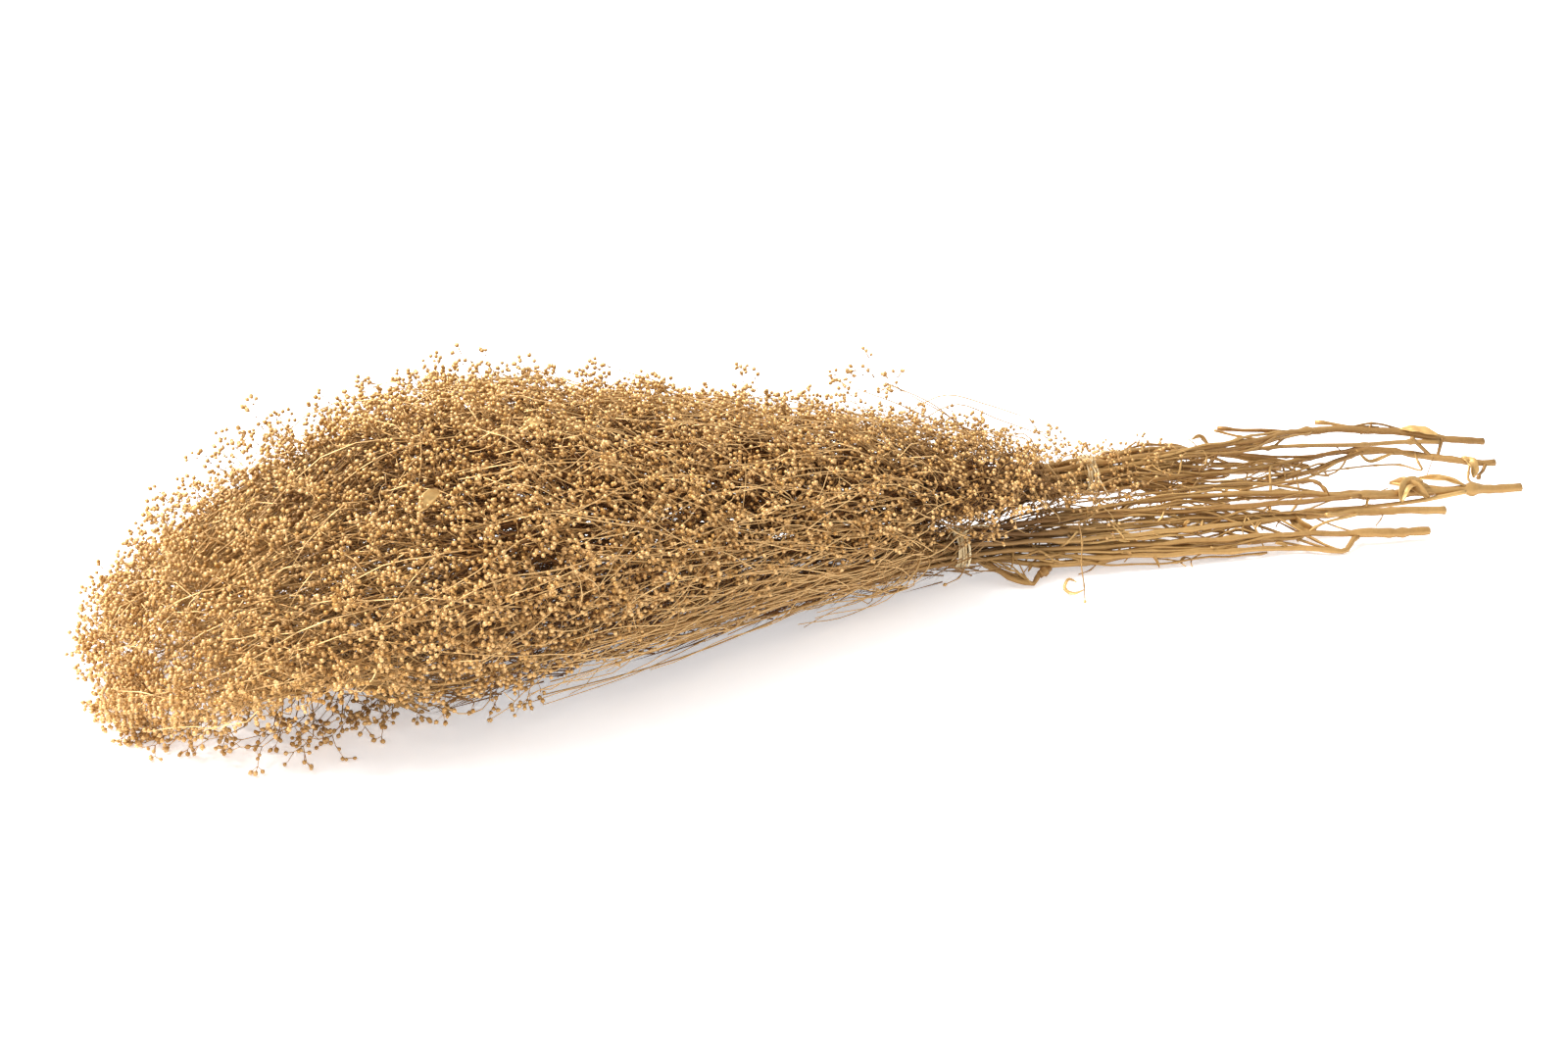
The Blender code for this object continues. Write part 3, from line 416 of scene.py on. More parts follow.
class Leaders:
    """The shoots that branches grow from: two on each stem as in the frame, then the side shoots.

    Each has the stem that owns it, its number there, and the x of its start and of its end."""

    def __init__(self):
        rows, routes, radii = [], [], []
        for which, stem in enumerate(STEMS):
            for number in (0, 1):
                knots = shoot_route(stem, number)
                routes.append(sampled(knots))
                radii.append(shoot_radius(stem, number, STATIONS, STATION_STEP / 2))
                rows.append((which, number, knots[0, 0], stem["dense"][1]))
        owners = [row[0] for row in rows]
        joints = [STEMS[which]["joint"] for which in owners]
        y, z = settle(np.array(routes), owners, np.array(radii), joints)
        self.yz = np.stack([y, z], axis=-1)
        self.main = len(rows)
        self.add_side_shoots(rows, np.array(radii))
        self.owner, self.number, self.start, self.end = map(np.array, zip(*rows))

    def add_side_shoots(self, rows, radii):
        """Side shoots leave a shoot between the cut end and the band, and pass inside the band.

        They are pushed off the shoots and off each other, which stay where they are."""
        chance = np.random.default_rng(21)
        routes = []
        for (which, stem), k in itertools.product(enumerate(STEMS), range(SIDE_SHOOTS)):
            band, cut_end = stem["tie"], stem["trunk"][0][0]
            parent = 2 * which + int(chance.integers(2))
            highest = min(rows[parent][2] - 0.012, cut_end - 0.02)
            start = max(highest - (cut_end - band["x"]) * chance.uniform(0.0, 0.50),
                        band["x"] + 0.03)
            turn = math.radians(np.mean(stem["seats"]) + chance.uniform(-60, 60))
            seat = seat_in(band, band["seat"] * chance.uniform(0.10, 0.62), turn)
            shares = np.mean(stem["head"], axis=0) + chance.uniform(-0.24, 0.24, 2)
            shares *= min(1.0, 0.84 / np.hypot(*shares))
            aside = chance.uniform(-0.004, 0.004, 2)
            middle = (start + band["x"]) / 2
            halfway = self.at(parent, middle)[1:] + aside
            knots = [self.at(parent, start), (middle, *halfway), (band["x"] + 0.008, *seat)]
            routes.append(sampled(np.array(knots + onward(stem, seat, shares))))
            rows.append((which, 2 + k, start, stem["dense"][1] + chance.uniform(0.02, 0.09)))
        side = np.moveaxis(np.array(routes), 1, 2)
        thick = np.concatenate([radii, np.full(side.shape[:2], SIDE_SHOOT_RADIUS)])
        for _ in range(PUSH_ROUNDS):
            every = np.concatenate([self.yz, side])
            gap = side[:, None] - every[None]
            apart = np.linalg.norm(gap, axis=-1) + 1e-9
            need = SIDE_SHOOT_RADIUS + thick[None] + 0.0002
            push = np.where((apart < need) & (apart > 1e-6), (need - apart) / apart, 0.0)
            side = side + 0.5 * np.nansum(gap * push[..., None], axis=1)
            side[..., 1] = np.where(side[..., 1] < 0.001, 0.001, side[..., 1])
        self.yz = np.concatenate([self.yz, side])

    def at(self, which, x):
        """Points on leaders at the given x, straight between stations."""
        x = np.asarray(x)
        place = np.clip((STATIONS[0] - x) / STATION_STEP, 0, len(STATIONS) - 1.001)
        low = place.astype(int)
        share = (place - low)[..., None]
        first, second = self.yz[which, low], self.yz[which, low + 1]
        first = np.where(np.isfinite(first), first, second)
        points = np.concatenate([x[..., None], first * (1 - share) + second * share], -1)
        return tucked(points, 20 * MM)

    def along(self, row, x):
        """Points on one leader at each of the given x."""
        return self.at(np.full(len(x), row), x)

    def heading(self, which, x):
        """The direction in which a leader grows at x."""
        return unit(self.at(which, x - 0.008) - self.at(which, x))


# Surfaces

def circle(u, v, sides, flat=1.0):
    """Points at radius 1 round the planes of u and v: cos a * u + flat * sin a * v."""
    turn = np.arange(sides)[:, None] * math.tau / sides
    return np.cos(turn) * u[..., None, :] + flat * np.sin(turn) * v[..., None, :]


def walls(first, sides):
    """The four-sided faces between the ring that starts at each first point and the next ring."""
    k = np.arange(sides)
    n = (k + 1) % sides
    faces = np.stack([first + k, first + n, first + sides + n, first + sides + k], axis=-1)
    return faces.reshape(-1, 4)


def tubes(paths, radii, sides, flat=1.0, across=None):
    """Closed tubes round N paths of M points.

    A ring of points stands square to each path at every point: path + radius (cos a * u +
    flat * sin a * v), where u and v are square to the path and u leans to `across`."""
    count, steps = paths.shape[:2]
    radii = np.broadcast_to(radii, (count, steps))
    along = unit(np.gradient(paths, axis=1))
    if across is None:
        chord = unit(paths[:, -1] - paths[:, 0])
        across = np.where(np.abs(chord[:, 2:]) < 0.8, (0.0, 0.0, 1.0), (0.0, 1.0, 0.0))
    across = np.broadcast_to(across, (count, 3))[:, None]
    u = unit(across - np.sum(across * along, axis=-1, keepdims=True) * along)
    ring = circle(u, np.cross(along, u), sides, flat)
    points = paths[:, :, None] + radii[:, :, None, None] * ring
    first = (np.arange(count)[:, None, None] * steps + np.arange(steps - 1)[:, None]) * sides
    start, k = np.arange(count)[:, None] * steps * sides, np.arange(sides)
    caps = np.concatenate([start + k[::-1], start + (steps - 1) * sides + k])
    return points.reshape(-1, 3), [walls(first, sides), caps]


def needles(roots, tips, radius):
    """N slim pyramids with three sides, each from a small base at its root to its tip."""
    along = unit(tips - roots)
    u = unit(np.cross(along, np.where(np.abs(along[:, 2:]) < 0.9, (0.0, 0, 1), (0.0, 1, 0))))
    base = roots[:, None] + radius * circle(u, np.cross(along, u), 3)
    points = np.concatenate([base, tips[:, None]], axis=1)
    first = np.arange(len(roots))[:, None, None] * 4
    faces = first + np.array([[0, 1, 3], [1, 2, 3], [2, 0, 3], [2, 1, 0]])
    return points.reshape(-1, 3), [faces.reshape(-1, 3)]


def buds(centres, axes, sizes, shape, sides, chance):
    """N closed buds: rings of points round each axis, narrow at the stalk and pointed at the tip.

    Ring i is centre + size (height_i * axis + radius_i (cos a * u + sin a * v))."""
    rings, tip = shape
    count = len(centres)
    radius, height = np.array(rings).T
    longer = chance.uniform(0.88, 1.16, (count, 1))
    u = unit(np.cross(axes, stray(chance, count)))
    ring = circle(u, np.cross(axes, u), sides)
    up = (height * longer)[:, :, None, None] * axes[:, None, None]
    points = up + radius[:, None, None] * ring[:, None]
    points = centres[:, None, None] + sizes[:, None, None, None] * points
    tips = centres + axes * sizes[:, None] * tip * longer
    size = len(rings) * sides + 1
    points = np.concatenate([points.reshape(count, size - 1, 3), tips[:, None]], axis=1)
    k = np.arange(sides)
    first = np.arange(count)[:, None] * size
    low = first[:, None] + np.arange(len(rings) - 1)[:, None] * sides
    top = first + (len(rings) - 1) * sides
    peak = np.stack([top + k, top + (k + 1) % sides,
                     np.broadcast_to(first + size - 1, (count, sides))], -1)
    return points.reshape(-1, 3), [walls(low, sides), peak.reshape(-1, 3), first + k[::-1]]


def sheet(grid, thickness):
    """A thin closed sheet: a grid of points moved out by half the thickness on both sides."""
    rows, columns = grid.shape[:2]
    half = unit(np.cross(np.gradient(grid, axis=0), np.gradient(grid, axis=1))) * thickness / 2
    points = np.concatenate([(grid + half).reshape(-1, 3), (grid - half).reshape(-1, 3)])
    index = np.arange(rows * columns).reshape(rows, columns)
    top = np.stack([index[:-1, :-1], index[1:, :-1], index[1:, 1:], index[:-1, 1:]], -1)
    top = top.reshape(-1, 4)
    border = np.concatenate([index[0, :-1], index[:-1, -1], index[-1, :0:-1], index[:0:-1, 0]])
    after, under = np.roll(border, -1), rows * columns
    rim = np.stack([border, after, after + under, border + under], -1)
    return points, [top, top[:, ::-1] + under, rim]


def placed(name, data):
    """A new object with the given data, in the scene."""
    obj = bpy.data.objects.new(name, data)
    bpy.context.scene.collection.objects.link(obj)
    return obj


class Pile:
    """Surfaces gathered for one piece, with how much gold coat each has, partly painted shade deep in
    the head.
    """

    def __init__(self):
        self.points, self.faces, self.tones, self.coats, self.kinds = [], [], [], [], []
        self.count = 0

    def add(self, surface, kind, tones, coat=None):
        """Adds a surface of a material, with a tone and a coat for each of its equal parts."""
        points, faces = surface
        if not len(points):
            return
        tones = np.atleast_1d(tones)
        each = len(points) // len(tones)
        # With no coat given, the gold thins deep in the head: partly spray that did not reach, partly
        # painted shade.
        coats = spray_reach_and_deep_shade(points) if coat is None else np.repeat(
            np.broadcast_to(coat, len(tones)), each)
        self.points.append(points)
        self.tones.append(np.repeat(tones, each))
        self.coats.append(coats)
        for group in faces:
            self.faces.append(group + self.count)
            self.kinds.append(np.full(len(group), kind))
        self.count += len(points)

    def add_tube(self, path, radius, sides, kind, tone, coat=None, **form):
        """Adds one tube round a path."""
        self.add(tubes(path[None], radius, sides, **form), kind, tone, coat)

    def add_twigs(self, paths, mine, radii, sides, chance, pale=0.0, spread=1.0, coat=None):
        """Adds the twigs that the mask picks, in random tones from the pale one on."""
        tones = pale + spread * tone_of(mine, chance)
        self.add(tubes(paths[mine], radii, sides), TWIG, tones, coat)

    def piece(self, name, materials):
        """Puts the surfaces in one mesh, with the tone and coat of every point."""
        mesh = bpy.data.meshes.new(name)
        points = np.concatenate(self.points) + SHIFT
        corners = np.concatenate([group.reshape(-1) for group in self.faces])
        lengths = np.concatenate([np.full(len(group), group.shape[1]) for group in self.faces])
        starts = np.concatenate([[0], np.cumsum(lengths)[:-1]])
        mesh.vertices.add(len(points))
        mesh.vertices.foreach_set("co", points.astype(np.float32).reshape(-1))
        mesh.loops.add(len(corners))
        mesh.loops.foreach_set("vertex_index", corners.astype(np.int32))
        mesh.polygons.add(len(lengths))
        mesh.polygons.foreach_set("loop_start", starts.astype(np.int32))
        mesh.polygons.foreach_set("material_index", np.concatenate(self.kinds).astype(np.int32))
        mesh.update(calc_edges=True)
        mesh.polygons.foreach_set("use_smooth", np.full(len(lengths), True))
        for label, values in (("tone", self.tones), ("coat", self.coats)):
            layer = mesh.attributes.new(label, "FLOAT", "POINT")
            layer.data.foreach_set("value", np.concatenate(values).astype(np.float32))
        for material in materials:
            mesh.materials.append(material)
        mesh.validate()
        return placed(name, mesh)


def tone_of(mask, chance):
    """A random tone for each part that the mask picks."""
    return chance.random(max(int(np.count_nonzero(mask)), 1))


def tucked(points, cover):
    """The same points, pulled in at the open end of the head to lie under a cover of buds."""
    x = np.maximum(points[..., 0], HEAD_TIP)
    y, z, wide, tall = head_section(x)
    across, up = (points[..., 1] - y) / wide, (points[..., 2] - z) / tall
    turn = np.arctan2(up, across)
    size = np.hypot(wide * np.cos(turn), tall * np.sin(turn))
    there = rise(x, -0.10, -0.06)
    limit = 1 - (lumps(x, turn) + airy(x, turn) + cover) / size
    pull = 1 + there * (np.minimum(1, limit / np.maximum(np.hypot(across, up), 0.01)) - 1)
    moved = np.stack([y + (points[..., 1] - y) * pull, z + (points[..., 2] - z) * pull], -1)
    moved = np.where(there[..., None] > 0, moved, points[..., 1:])
    return np.concatenate([points[..., :1], moved], -1)


def spray_reach_and_deep_shade(points):
    """How much gold a point shows: all at the outside, little deep in the head, partly unsprayed and
    partly painted shade.
    """
    x = points[:, 0]
    y, z, half_width, half_height = head_section(np.clip(x, HEAD_TIP, HEAD_START))
    # Deep in the head the gold falls to bare brown: partly unsprayed, partly painted shade.
    depth = np.hypot((points[:, 1] - y) / half_width, (points[:, 2] - z) / half_height)
    open_end = rise(x, HEAD_TIP + 0.12, -0.06)
    # Towards the cut ends the coat drops by a third, so the stems there are darker.
    bare_stems = rise(x, 0.10, 0.08) * (1 - 0.32 * rise(x, 0.25, 0.06))
    return np.maximum(rise(depth, 0.55, 0.30), np.maximum(open_end, bare_stems))


# Growth

def bowed(start, leave, end, arrive, steps):
    """Cubic curves from start to end that leave and arrive along the given directions."""
    t = np.linspace(0, 1, steps)[None, :, None]
    reach = np.linalg.norm(end - start, axis=-1)[:, None, None]
    return hermite(t, start[:, None], leave[:, None] * reach, end[:, None], arrive[:, None] * reach)


def above_table(points, radius):
    """The same points, lifted where they would sink into the table."""
    lifted = points.copy()
    lifted[..., 2] = np.maximum(points[..., 2], radius)
    return lifted


def outline_spots(spacing, chance, density):
    """Spots spread evenly over the outline of the head, as x and an angle round its oval.

    Slice by slice along the bunch, the angles cut the oval's length times the density into
    equal shares."""
    found = []
    turn = np.linspace(0, math.tau, 361)
    middle = (turn[1:] + turn[:-1]) / 2
    for x in np.arange(HEAD_START, HEAD_TIP + 0.010, -spacing):
        y, z, wide, tall = head_section(x)
        slope = abs(head_section(x + 0.004)[2] - head_section(x - 0.004)[2]) / 0.008
        around, up = y + wide * np.cos(turn), z + tall * np.sin(turn)
        length = np.hypot(np.diff(around), np.diff(up)) * math.hypot(1, slope)
        weight = np.where(z + tall * np.sin(middle) > 0.001, length * density(x, middle), 0.0)
        share = np.concatenate([[0], np.cumsum(weight)]) / spacing
        many = int(share[-1] + chance.random())
        if not many:
            continue
        at = (np.arange(many) + chance.uniform(0.1, 0.9, many)) * share[-1] / many
        angle = np.interp(at, share, turn)
        found.append(np.stack([x + chance.uniform(-0.5, 0.5, many) * spacing, angle], 1))
    return np.concatenate(found).T


def dark_spot(x, turn, reach, spread):
    """1 in the dark hollow low in the front of the head, dying away round it."""
    aside = (np.mod(turn, math.tau) - DARK_TURN) / spread
    return np.exp(-((x - DARK_X) / reach) ** 2 - aside ** 2)


def bud_density(x, turn):
    """How thickly the outline carries buds: less underneath, on the bare side and at the ties."""
    y, z, wide, tall = head_section(x)
    across, up = np.cos(turn), np.sin(turn)
    tied_end = rise(x, -0.16, 0.05)
    low = (up < -0.35 + 0.17 * tied_end) & (across < 0.45)
    share = np.where(low, 0.30 - 0.27 * tied_end, 1.0)
    share = share * (1 - 0.94 * rise(x, -0.12, 0.08) * (across < -0.1) * (up < 0.06))
    front = (y + wide * across < -0.030) & (z + tall * up < 0.040 + 0.1 * max(0.0, x - 0.1))
    if x > 0.050:
        share = np.where(front, 0.05, share)
    if abs(x - BANDS["back"]["x"]) < 0.007:
        share = share * 0.25
    share = share * (1 - 0.25 * rise(x, -0.30, -0.02)) * (1.5 if x < BLUNT_END else 1.0)
    share = share * (1 - 0.5 * rise(x, 0.170, 0.02)) * (1 - 0.55 * dark_spot(x, turn, 0.040, 0.20))
    neck = rise(x, 0.06, 0.03) * rise(x, 0.14, -0.02)
    return share * (1 + 0.18 * rise(x, -0.12, -0.06) - 0.25 * hollow(x, turn) + 0.5 * neck)


def hollow(x, turn):
    """Where the open end of the head stands clear of the table: low in front, at the tips."""
    low = rise(np.sin(turn), 0.02, -0.35) * rise(np.cos(turn), 0.3, -0.4)
    return low * rise(x, -0.212, -0.045)


def fringe_density(x, turn):
    """Where single sprays stand out of the cloud: its top, its far side and its open end."""
    up = np.sin(turn)
    share = 1 + 2.2 * airy(x, turn) / AIRY
    return share * ((up > 0.15) | (x < -0.28)) * (x < 0.06) * (up > -0.4) * (1 - hollow(x, turn))


def lumps(x, turn):
    """How far the cloud of buds falls short of the outline, in lumps a few centimetres wide."""
    up = np.sin(turn)
    first = np.sin(95 * x + 2.1 * np.sin(2 * turn)) * np.sin(3 * turn + 40 * x)
    second = np.sin(170 * x - 5 * turn)
    top = (2.5 + 5.0 * rise(x, -0.20, -0.02) - 2.5 * rise(x, -0.05, 0.03)) * rise(up, 0.1, 0.3)
    under = 12.0 * rise(up, -0.15, -0.2) * rise(x, -0.16, 0.05)
    hollows = UNDER_HOLLOW * hollow(x, turn) + FRONT_HOLLOW * dark_spot(x, turn, 0.034, 0.17)
    return MM * (4.0 * first + 2.4 * second + top + under) + hollows


def airy(x, turn):
    """How deep the cloud lies below its standing sprays at the top of the open end."""
    return AIRY * rise(np.sin(turn), -0.05, 0.3) * rise(x, -0.225, -0.05)


def outline_point(x, turn, depth):
    """Points below the outline by a depth, the outward direction there and the way on."""
    x = np.maximum(x, HEAD_TIP)
    y, z, wide, tall = head_section(x)
    across, up = np.cos(turn), np.sin(turn)
    out = unit(np.stack([0 * x, across / wide, up / tall], -1))
    spot = np.stack([x, y + wide * across, z + tall * up], -1) - out * depth[..., None]
    ahead = head_section(np.maximum(x - 0.01, HEAD_TIP))
    grow = np.stack([0 * x - 0.01, (ahead[2] - wide) * across, (ahead[3] - tall) * up], -1)
    closing = (ahead[2] < wide)[..., None]
    return spot, out, unit(np.where(closing, (-1.0, 0.0, 0.0), grow))


def clear_of_gap(points):
    """False for points that hide the gap between the two tied bundles from the photo's side."""
    seen_over = points[:, 2] + 0.45 * (points[:, 1] + 0.0355)
    return (points[:, 0] < 0.098) | (points[:, 0] > 0.140) | (seen_over > 0.0365)


def grow_sprays(roots, ways, sizes, forks, chance, sides=None):
    """Forked sprays: each fork holds up a bud in its middle and two arms, which fork again.

    Every level is one array. Its arms start where those before end and turn apart by the fork's
    angle, and the next fork's plane stands across this one."""
    at, ways = roots, unit(ways)
    source = np.arange(len(roots))
    if sides is None:
        sides = unit(np.cross(ways, stray(chance, len(roots))))
    arms, stalks = [], []
    for level in range(forks):
        count = len(at)
        length = ARM_LENGTHS[level] * sizes[source] * chance.uniform(0.75, 1.25, count)
        ends = above_table(at + ways * length[:, None], ARM_RADIUS * 2)
        arms.append((at, ends, source, np.full(count, level)))
        stalks.append((ends, unit(ways + 0.45 * stray(chance, count)), source))
        turn = chance.uniform(0.42, 0.80, (2 * count, 1))
        both = np.concatenate([sides, -sides])
        turned = np.tile(ways, (2, 1)) * np.cos(turn) + both * np.sin(turn)
        turned = unit(turned + 0.12 * stray(chance, 2 * count))
        sides = unit(np.cross(turned, np.tile(sides, (2, 1))) + 0.5 * stray(chance, 2 * count))
        sides = unit(sides - np.sum(sides * turned, 1, keepdims=True) * turned)
        kept = chance.random(2 * count) > 0.08
        at, ways = np.tile(ends, (2, 1))[kept], turned[kept]
        sides, source = sides[kept], np.tile(source, 2)[kept]
    stalks.append((at, ways, source))
    return [[np.concatenate(column) for column in zip(*rows)] for rows in (arms, stalks)]


def add_sprays(piles, owners, grown, shape, sides, chance, coat=None, slim=True):
    """Puts grown sprays into the piles of the stems that carry them.

    The slim kind saves faces: its stalks are needles, and with deep buds its arms are too."""
    (low, high, arm_source, level), (root, way, stalk_source) = grown
    length = chance.uniform(*STALK_LENGTH, len(root))
    size = BUD_RADIUS * chance.uniform(0.82, 1.14, len(root))
    size = size * (1 - 0.12 * rise(root[:, 0], -0.02, 0.08))
    centre = above_table(root + way * length[:, None], 1.25 * size)
    way = unit(centre - root)
    foot = centre - way * size[:, None] * 0.8
    for which, pile in enumerate(piles):
        mine = owners[arm_source] == which
        if shape is DEEP_BUD:
            arms = needles(low[mine], high[mine], ARM_RADIUS * 1.2)
        else:
            radius = ARM_RADIUS * (1.15 - 0.12 * level[mine])[:, None] * (1.0, 0.85)
            arms = tubes(np.stack([low[mine], high[mine]], 1), radius, 3)
        pile.add(arms, TWIG, tone_of(mine, chance), coat)
        mine = owners[stalk_source] == which
        if slim:
            stalks = needles(root[mine], foot[mine], STALK_RADIUS * 1.35)
        else:
            stalks = tubes(np.stack([root[mine], foot[mine]], 1), STALK_RADIUS, 4)
        pile.add(stalks, TWIG, tone_of(mine, chance), coat)
        heads = buds(centre[mine], way[mine], size[mine], shape, sides, chance)
        pile.add(heads, BUD, tone_of(mine, chance))


def branches(leaders, chance):
    """Branches that leave the leaders and run forward to places below the outline of the head."""
    x, turn = outline_spots(BRANCH_SPACING, chance, lambda x, turn: 1 - 0.8 * hollow(x, turn))
    depth = chance.uniform(0.012, 0.034, len(x)) + 24 * MM * hollow(x, turn) + airy(x, turn)
    end, out, way = outline_point(x, turn, depth)
    end = above_table(end, 0.003)
    arrive = unit(way + 0.5 * out + 0.25 * stray(chance, len(x)))
    back = chance.uniform(0.045, 0.110, len(x))
    limit = np.array([STEMS[which]["tie"]["branches_from"] for which in leaders.owner])
    latest = np.minimum(limit, leaders.start - 0.02)
    leave_at = np.minimum(end[:, :1] + back[:, None], latest)
    usable = leave_at > end[:, :1] + 0.022
    usable &= np.maximum(end[:, :1], leaders.end) < leave_at - 0.005
    which = np.broadcast_to(np.arange(len(leaders.owner)), leave_at.shape)
    near = leaders.at(which, np.clip(end[:, :1] + 0 * leave_at, STATIONS[-1], None))
    gap = np.linalg.norm(near[..., 1:] - end[:, None, 1:], axis=-1) * PULL[leaders.owner]
    gap = np.where(usable, gap, TOO_FAR)
    pick = np.argmin(gap + chance.uniform(0, 0.006, gap.shape), axis=1)
    good = gap[np.arange(len(end)), pick] < 1.0
    end, arrive, pick = end[good], arrive[good], pick[good]
    start_x = leave_at[good, pick]
    paths = bowed(leaders.at(pick, start_x), leaders.heading(pick, start_x), end, arrive, 9)
    return above_table(wander(paths, 0.0022, chance), TWIG_LIFT), leaders.owner[pick]


def wander(paths, amount, chance):
    """The same paths with a slow random wave that dies away at both ends."""
    count, steps = paths.shape[:2]
    t = np.linspace(0, 1, steps)[None, :, None]
    wave = np.sin(t * chance.uniform(3, 9, (count, 1, 3)) + chance.uniform(0, 6.3, (count, 1, 3)))
    return paths + amount * wave * np.sin(math.pi * t)


def attach(roots, ways, carriers, carrier_owner):
    """A twig to each root from the nearest place on a carrier path a little way behind it."""
    spots = carriers.reshape(-1, 3)
    headings = unit(np.gradient(carriers, axis=1)).reshape(-1, 3)
    owner = np.repeat(carrier_owner, carriers.shape[1])
    pick = []
    for part in np.array_split(roots, len(roots) // BATCH + 1):
        apart = np.linalg.norm(spots[None] - part[:, None], axis=-1) * PULL[owner]
        short = LEAST_BEHIND - (spots[:, 0] - part[:, :1])
        pick.append(np.argmin(apart + np.where(short > 0, 0.05 + 3 * short, 0.0), axis=1))
    pick = np.concatenate(pick)
    return bowed(spots[pick], headings[pick], roots, ways, 4), owner[pick]


def nearest_stem(leaders, points):
    """The stem whose shoot passes nearest to each point."""
    every = [leaders.along(row, points[:, 0]) for row in range(leaders.main)]
    gap = np.linalg.norm(np.array(every) - points, axis=-1)
    return leaders.owner[np.argmin(np.nan_to_num(gap, nan=TOO_FAR), axis=0)]


def waved(paths, amount, leaders, chance, lift=TWIG_LIFT):
    """Twigs with a slow wave in them, off the table, and the stem that each belongs to."""
    paths = above_table(wander(paths, amount, chance), lift)
    return paths, nearest_stem(leaders, paths[:, 0])


def twig_share(x, turn):
    """Where long twigs show on the outline: most along the lower front edge, few at the tips."""
    across, up = np.cos(turn), np.sin(turn)
    edge = (x > -0.14) * (across < -0.35) * (np.abs(up + 0.15) < 0.45)
    share = np.where(up < -0.45, 0.25, 1.0) + 2.0 * edge
    return share * (0.06 + 0.94 * rise(x, -0.22, 0.14)) * (1 - 0.9 * hollow(x, turn))


def some_spots(count, spacing, chance, density):
    """A random choice of spots on the outline, as two columns."""
    x, turn = outline_spots(spacing, chance, density)
    order = chance.permutation(len(x))[:count]
    return x[order, None], turn[order, None]


def surface_twigs(leaders, chance):
    """Long thin twigs that come up out of the head and run on along its outline, some across."""
    x, turn = some_spots(SURFACE_TWIGS, 18 * MM, chance, twig_share)
    long = chance.uniform(0.03, 0.14, x.shape)
    start = np.minimum(x + long * 0.5, np.where(np.cos(turn) < -0.25, 0.056, 0.145))
    t = np.linspace(0, 1, 10)
    along = np.maximum(start - long * t, LAST_TWIG_X)
    angle = turn + chance.normal(0, 0.30, x.shape) * (t - 0.5)
    deep = 0.018 * (1 - rise(t, 0, 0.4)) + chance.uniform(0.001, 0.010, x.shape)
    deep = deep + UNDER_HOLLOW * hollow(along, angle) + 1.3 * airy(along, angle)
    return waved(outline_point(along, angle, deep)[0], 0.0030, leaders, chance)


def short_share(x, turn):
    """Where short twigs show on the outline: few underneath and at the tips."""
    share = np.where(np.sin(turn) < -0.5, 0.1, 1 - 0.9 * hollow(x, turn))
    return share * (x < 0.07) * (0.15 + 0.85 * rise(x, -0.22, 0.12))


def short_twigs(leaders, chance):
    """Short thin twigs that cross the outside of the head at all angles to its flow."""
    x, turn = some_spots(SHORT_TWIGS, 12 * MM, chance, short_share)
    long = chance.uniform(0.020, 0.060, x.shape)
    lean = chance.normal(0, 0.55, x.shape)
    t = np.linspace(0, 1, 6)
    along = np.clip(x - long * np.cos(lean) * (t - 0.5), LAST_TWIG_X, 0.075)
    angle = turn + long * np.sin(lean) * (t - 0.5) / 0.08
    deep = 0.012 * (1 - rise(t, 0, 0.5)) + chance.uniform(0.000, 0.007, x.shape)
    spots = outline_point(along, angle, deep + lumps(along, angle))[0]
    return waved(spots, 0.0012, leaders, chance)


def edge_shoots(leaders, chance):
    """Long smooth bare shoots that run from the front tie to the lower front edge of the head."""
    band, count = BANDS["front"], EDGE_SHOOTS
    turn = chance.uniform(0, math.tau, count)
    out = band["seat"] * chance.uniform(0.2, 0.9, count)
    start = np.stack([np.full(count, band["x"] - 0.003), band["y"] + out * np.cos(turn),
                      band["z"] + out * np.sin(turn)], -1)
    x = chance.uniform(-0.17, -0.02, count)
    turn = np.radians(chance.uniform(186, 222, count))
    end, _, way = outline_point(x, turn, chance.uniform(0.007, 0.016, count))
    paths = bowed(start, unit(end - start), end, way, 14)
    return waved(paths, 0.0020, leaders, chance, lift=0.0010)


def thicket(leaders, chance):
    """The thin twigs inside the head: needles spread over its volume, most along its flow.

    A slice of the head holds as many as its area asks, out to four fifths of its half sizes."""
    x = chance.uniform(-0.300, 0.12, 3 * THICKET_TWIGS)
    area = np.prod(head_section(x)[2:], axis=0)
    x = x[np.flatnonzero(chance.random(len(x)) < area / area.max())[:THICKET_TWIGS]]
    y, z, wide, tall = head_section(x)
    turn = chance.uniform(0, math.tau, len(x))
    share = 0.84 * np.sqrt(chance.random(len(x)))
    roots = np.stack([x, y + wide * share * np.cos(turn), z + tall * share * np.sin(turn)], -1)
    out = np.stack([0 * x, np.cos(turn), np.sin(turn)], -1)
    ways = unit(np.array((-1.0, 0, 0)) + 0.25 * out + 0.75 * stray(chance, len(x)))
    tips = roots + ways * chance.uniform(0.020, 0.042, len(x))[:, None]
    tips[:, 0] = np.maximum(tips[:, 0], HEAD_TIP + 0.010)
    y, z, wide, tall = head_section(tips[:, 0])
    squeeze = np.minimum(1.0, 0.86 / np.hypot((tips[:, 1] - y) / wide, (tips[:, 2] - z) / tall))
    tips[:, 1] = y + (tips[:, 1] - y) * squeeze
    tips[:, 2] = z + (tips[:, 2] - z) * squeeze
    roots, tips = tucked(roots, 16 * MM), tucked(tips, 16 * MM)
    kept = clear_of_gap(roots) & clear_of_gap(tips)
    roots, tips = above_table(roots[kept], 0.001), above_table(tips[kept], 0.001)
    return roots, tips, nearest_stem(leaders, roots)


# Materials

def linear(code):
    """An sRGB hex colour as linear red, green, blue and alpha."""
    channels = np.array([int(code[i:i + 2], 16) for i in (1, 3, 5)]) / 255
    low, high = channels / 12.92, ((channels + 0.055) / 1.055) ** 2.4
    return (*np.where(channels <= 0.04045, low, high), 1.0)


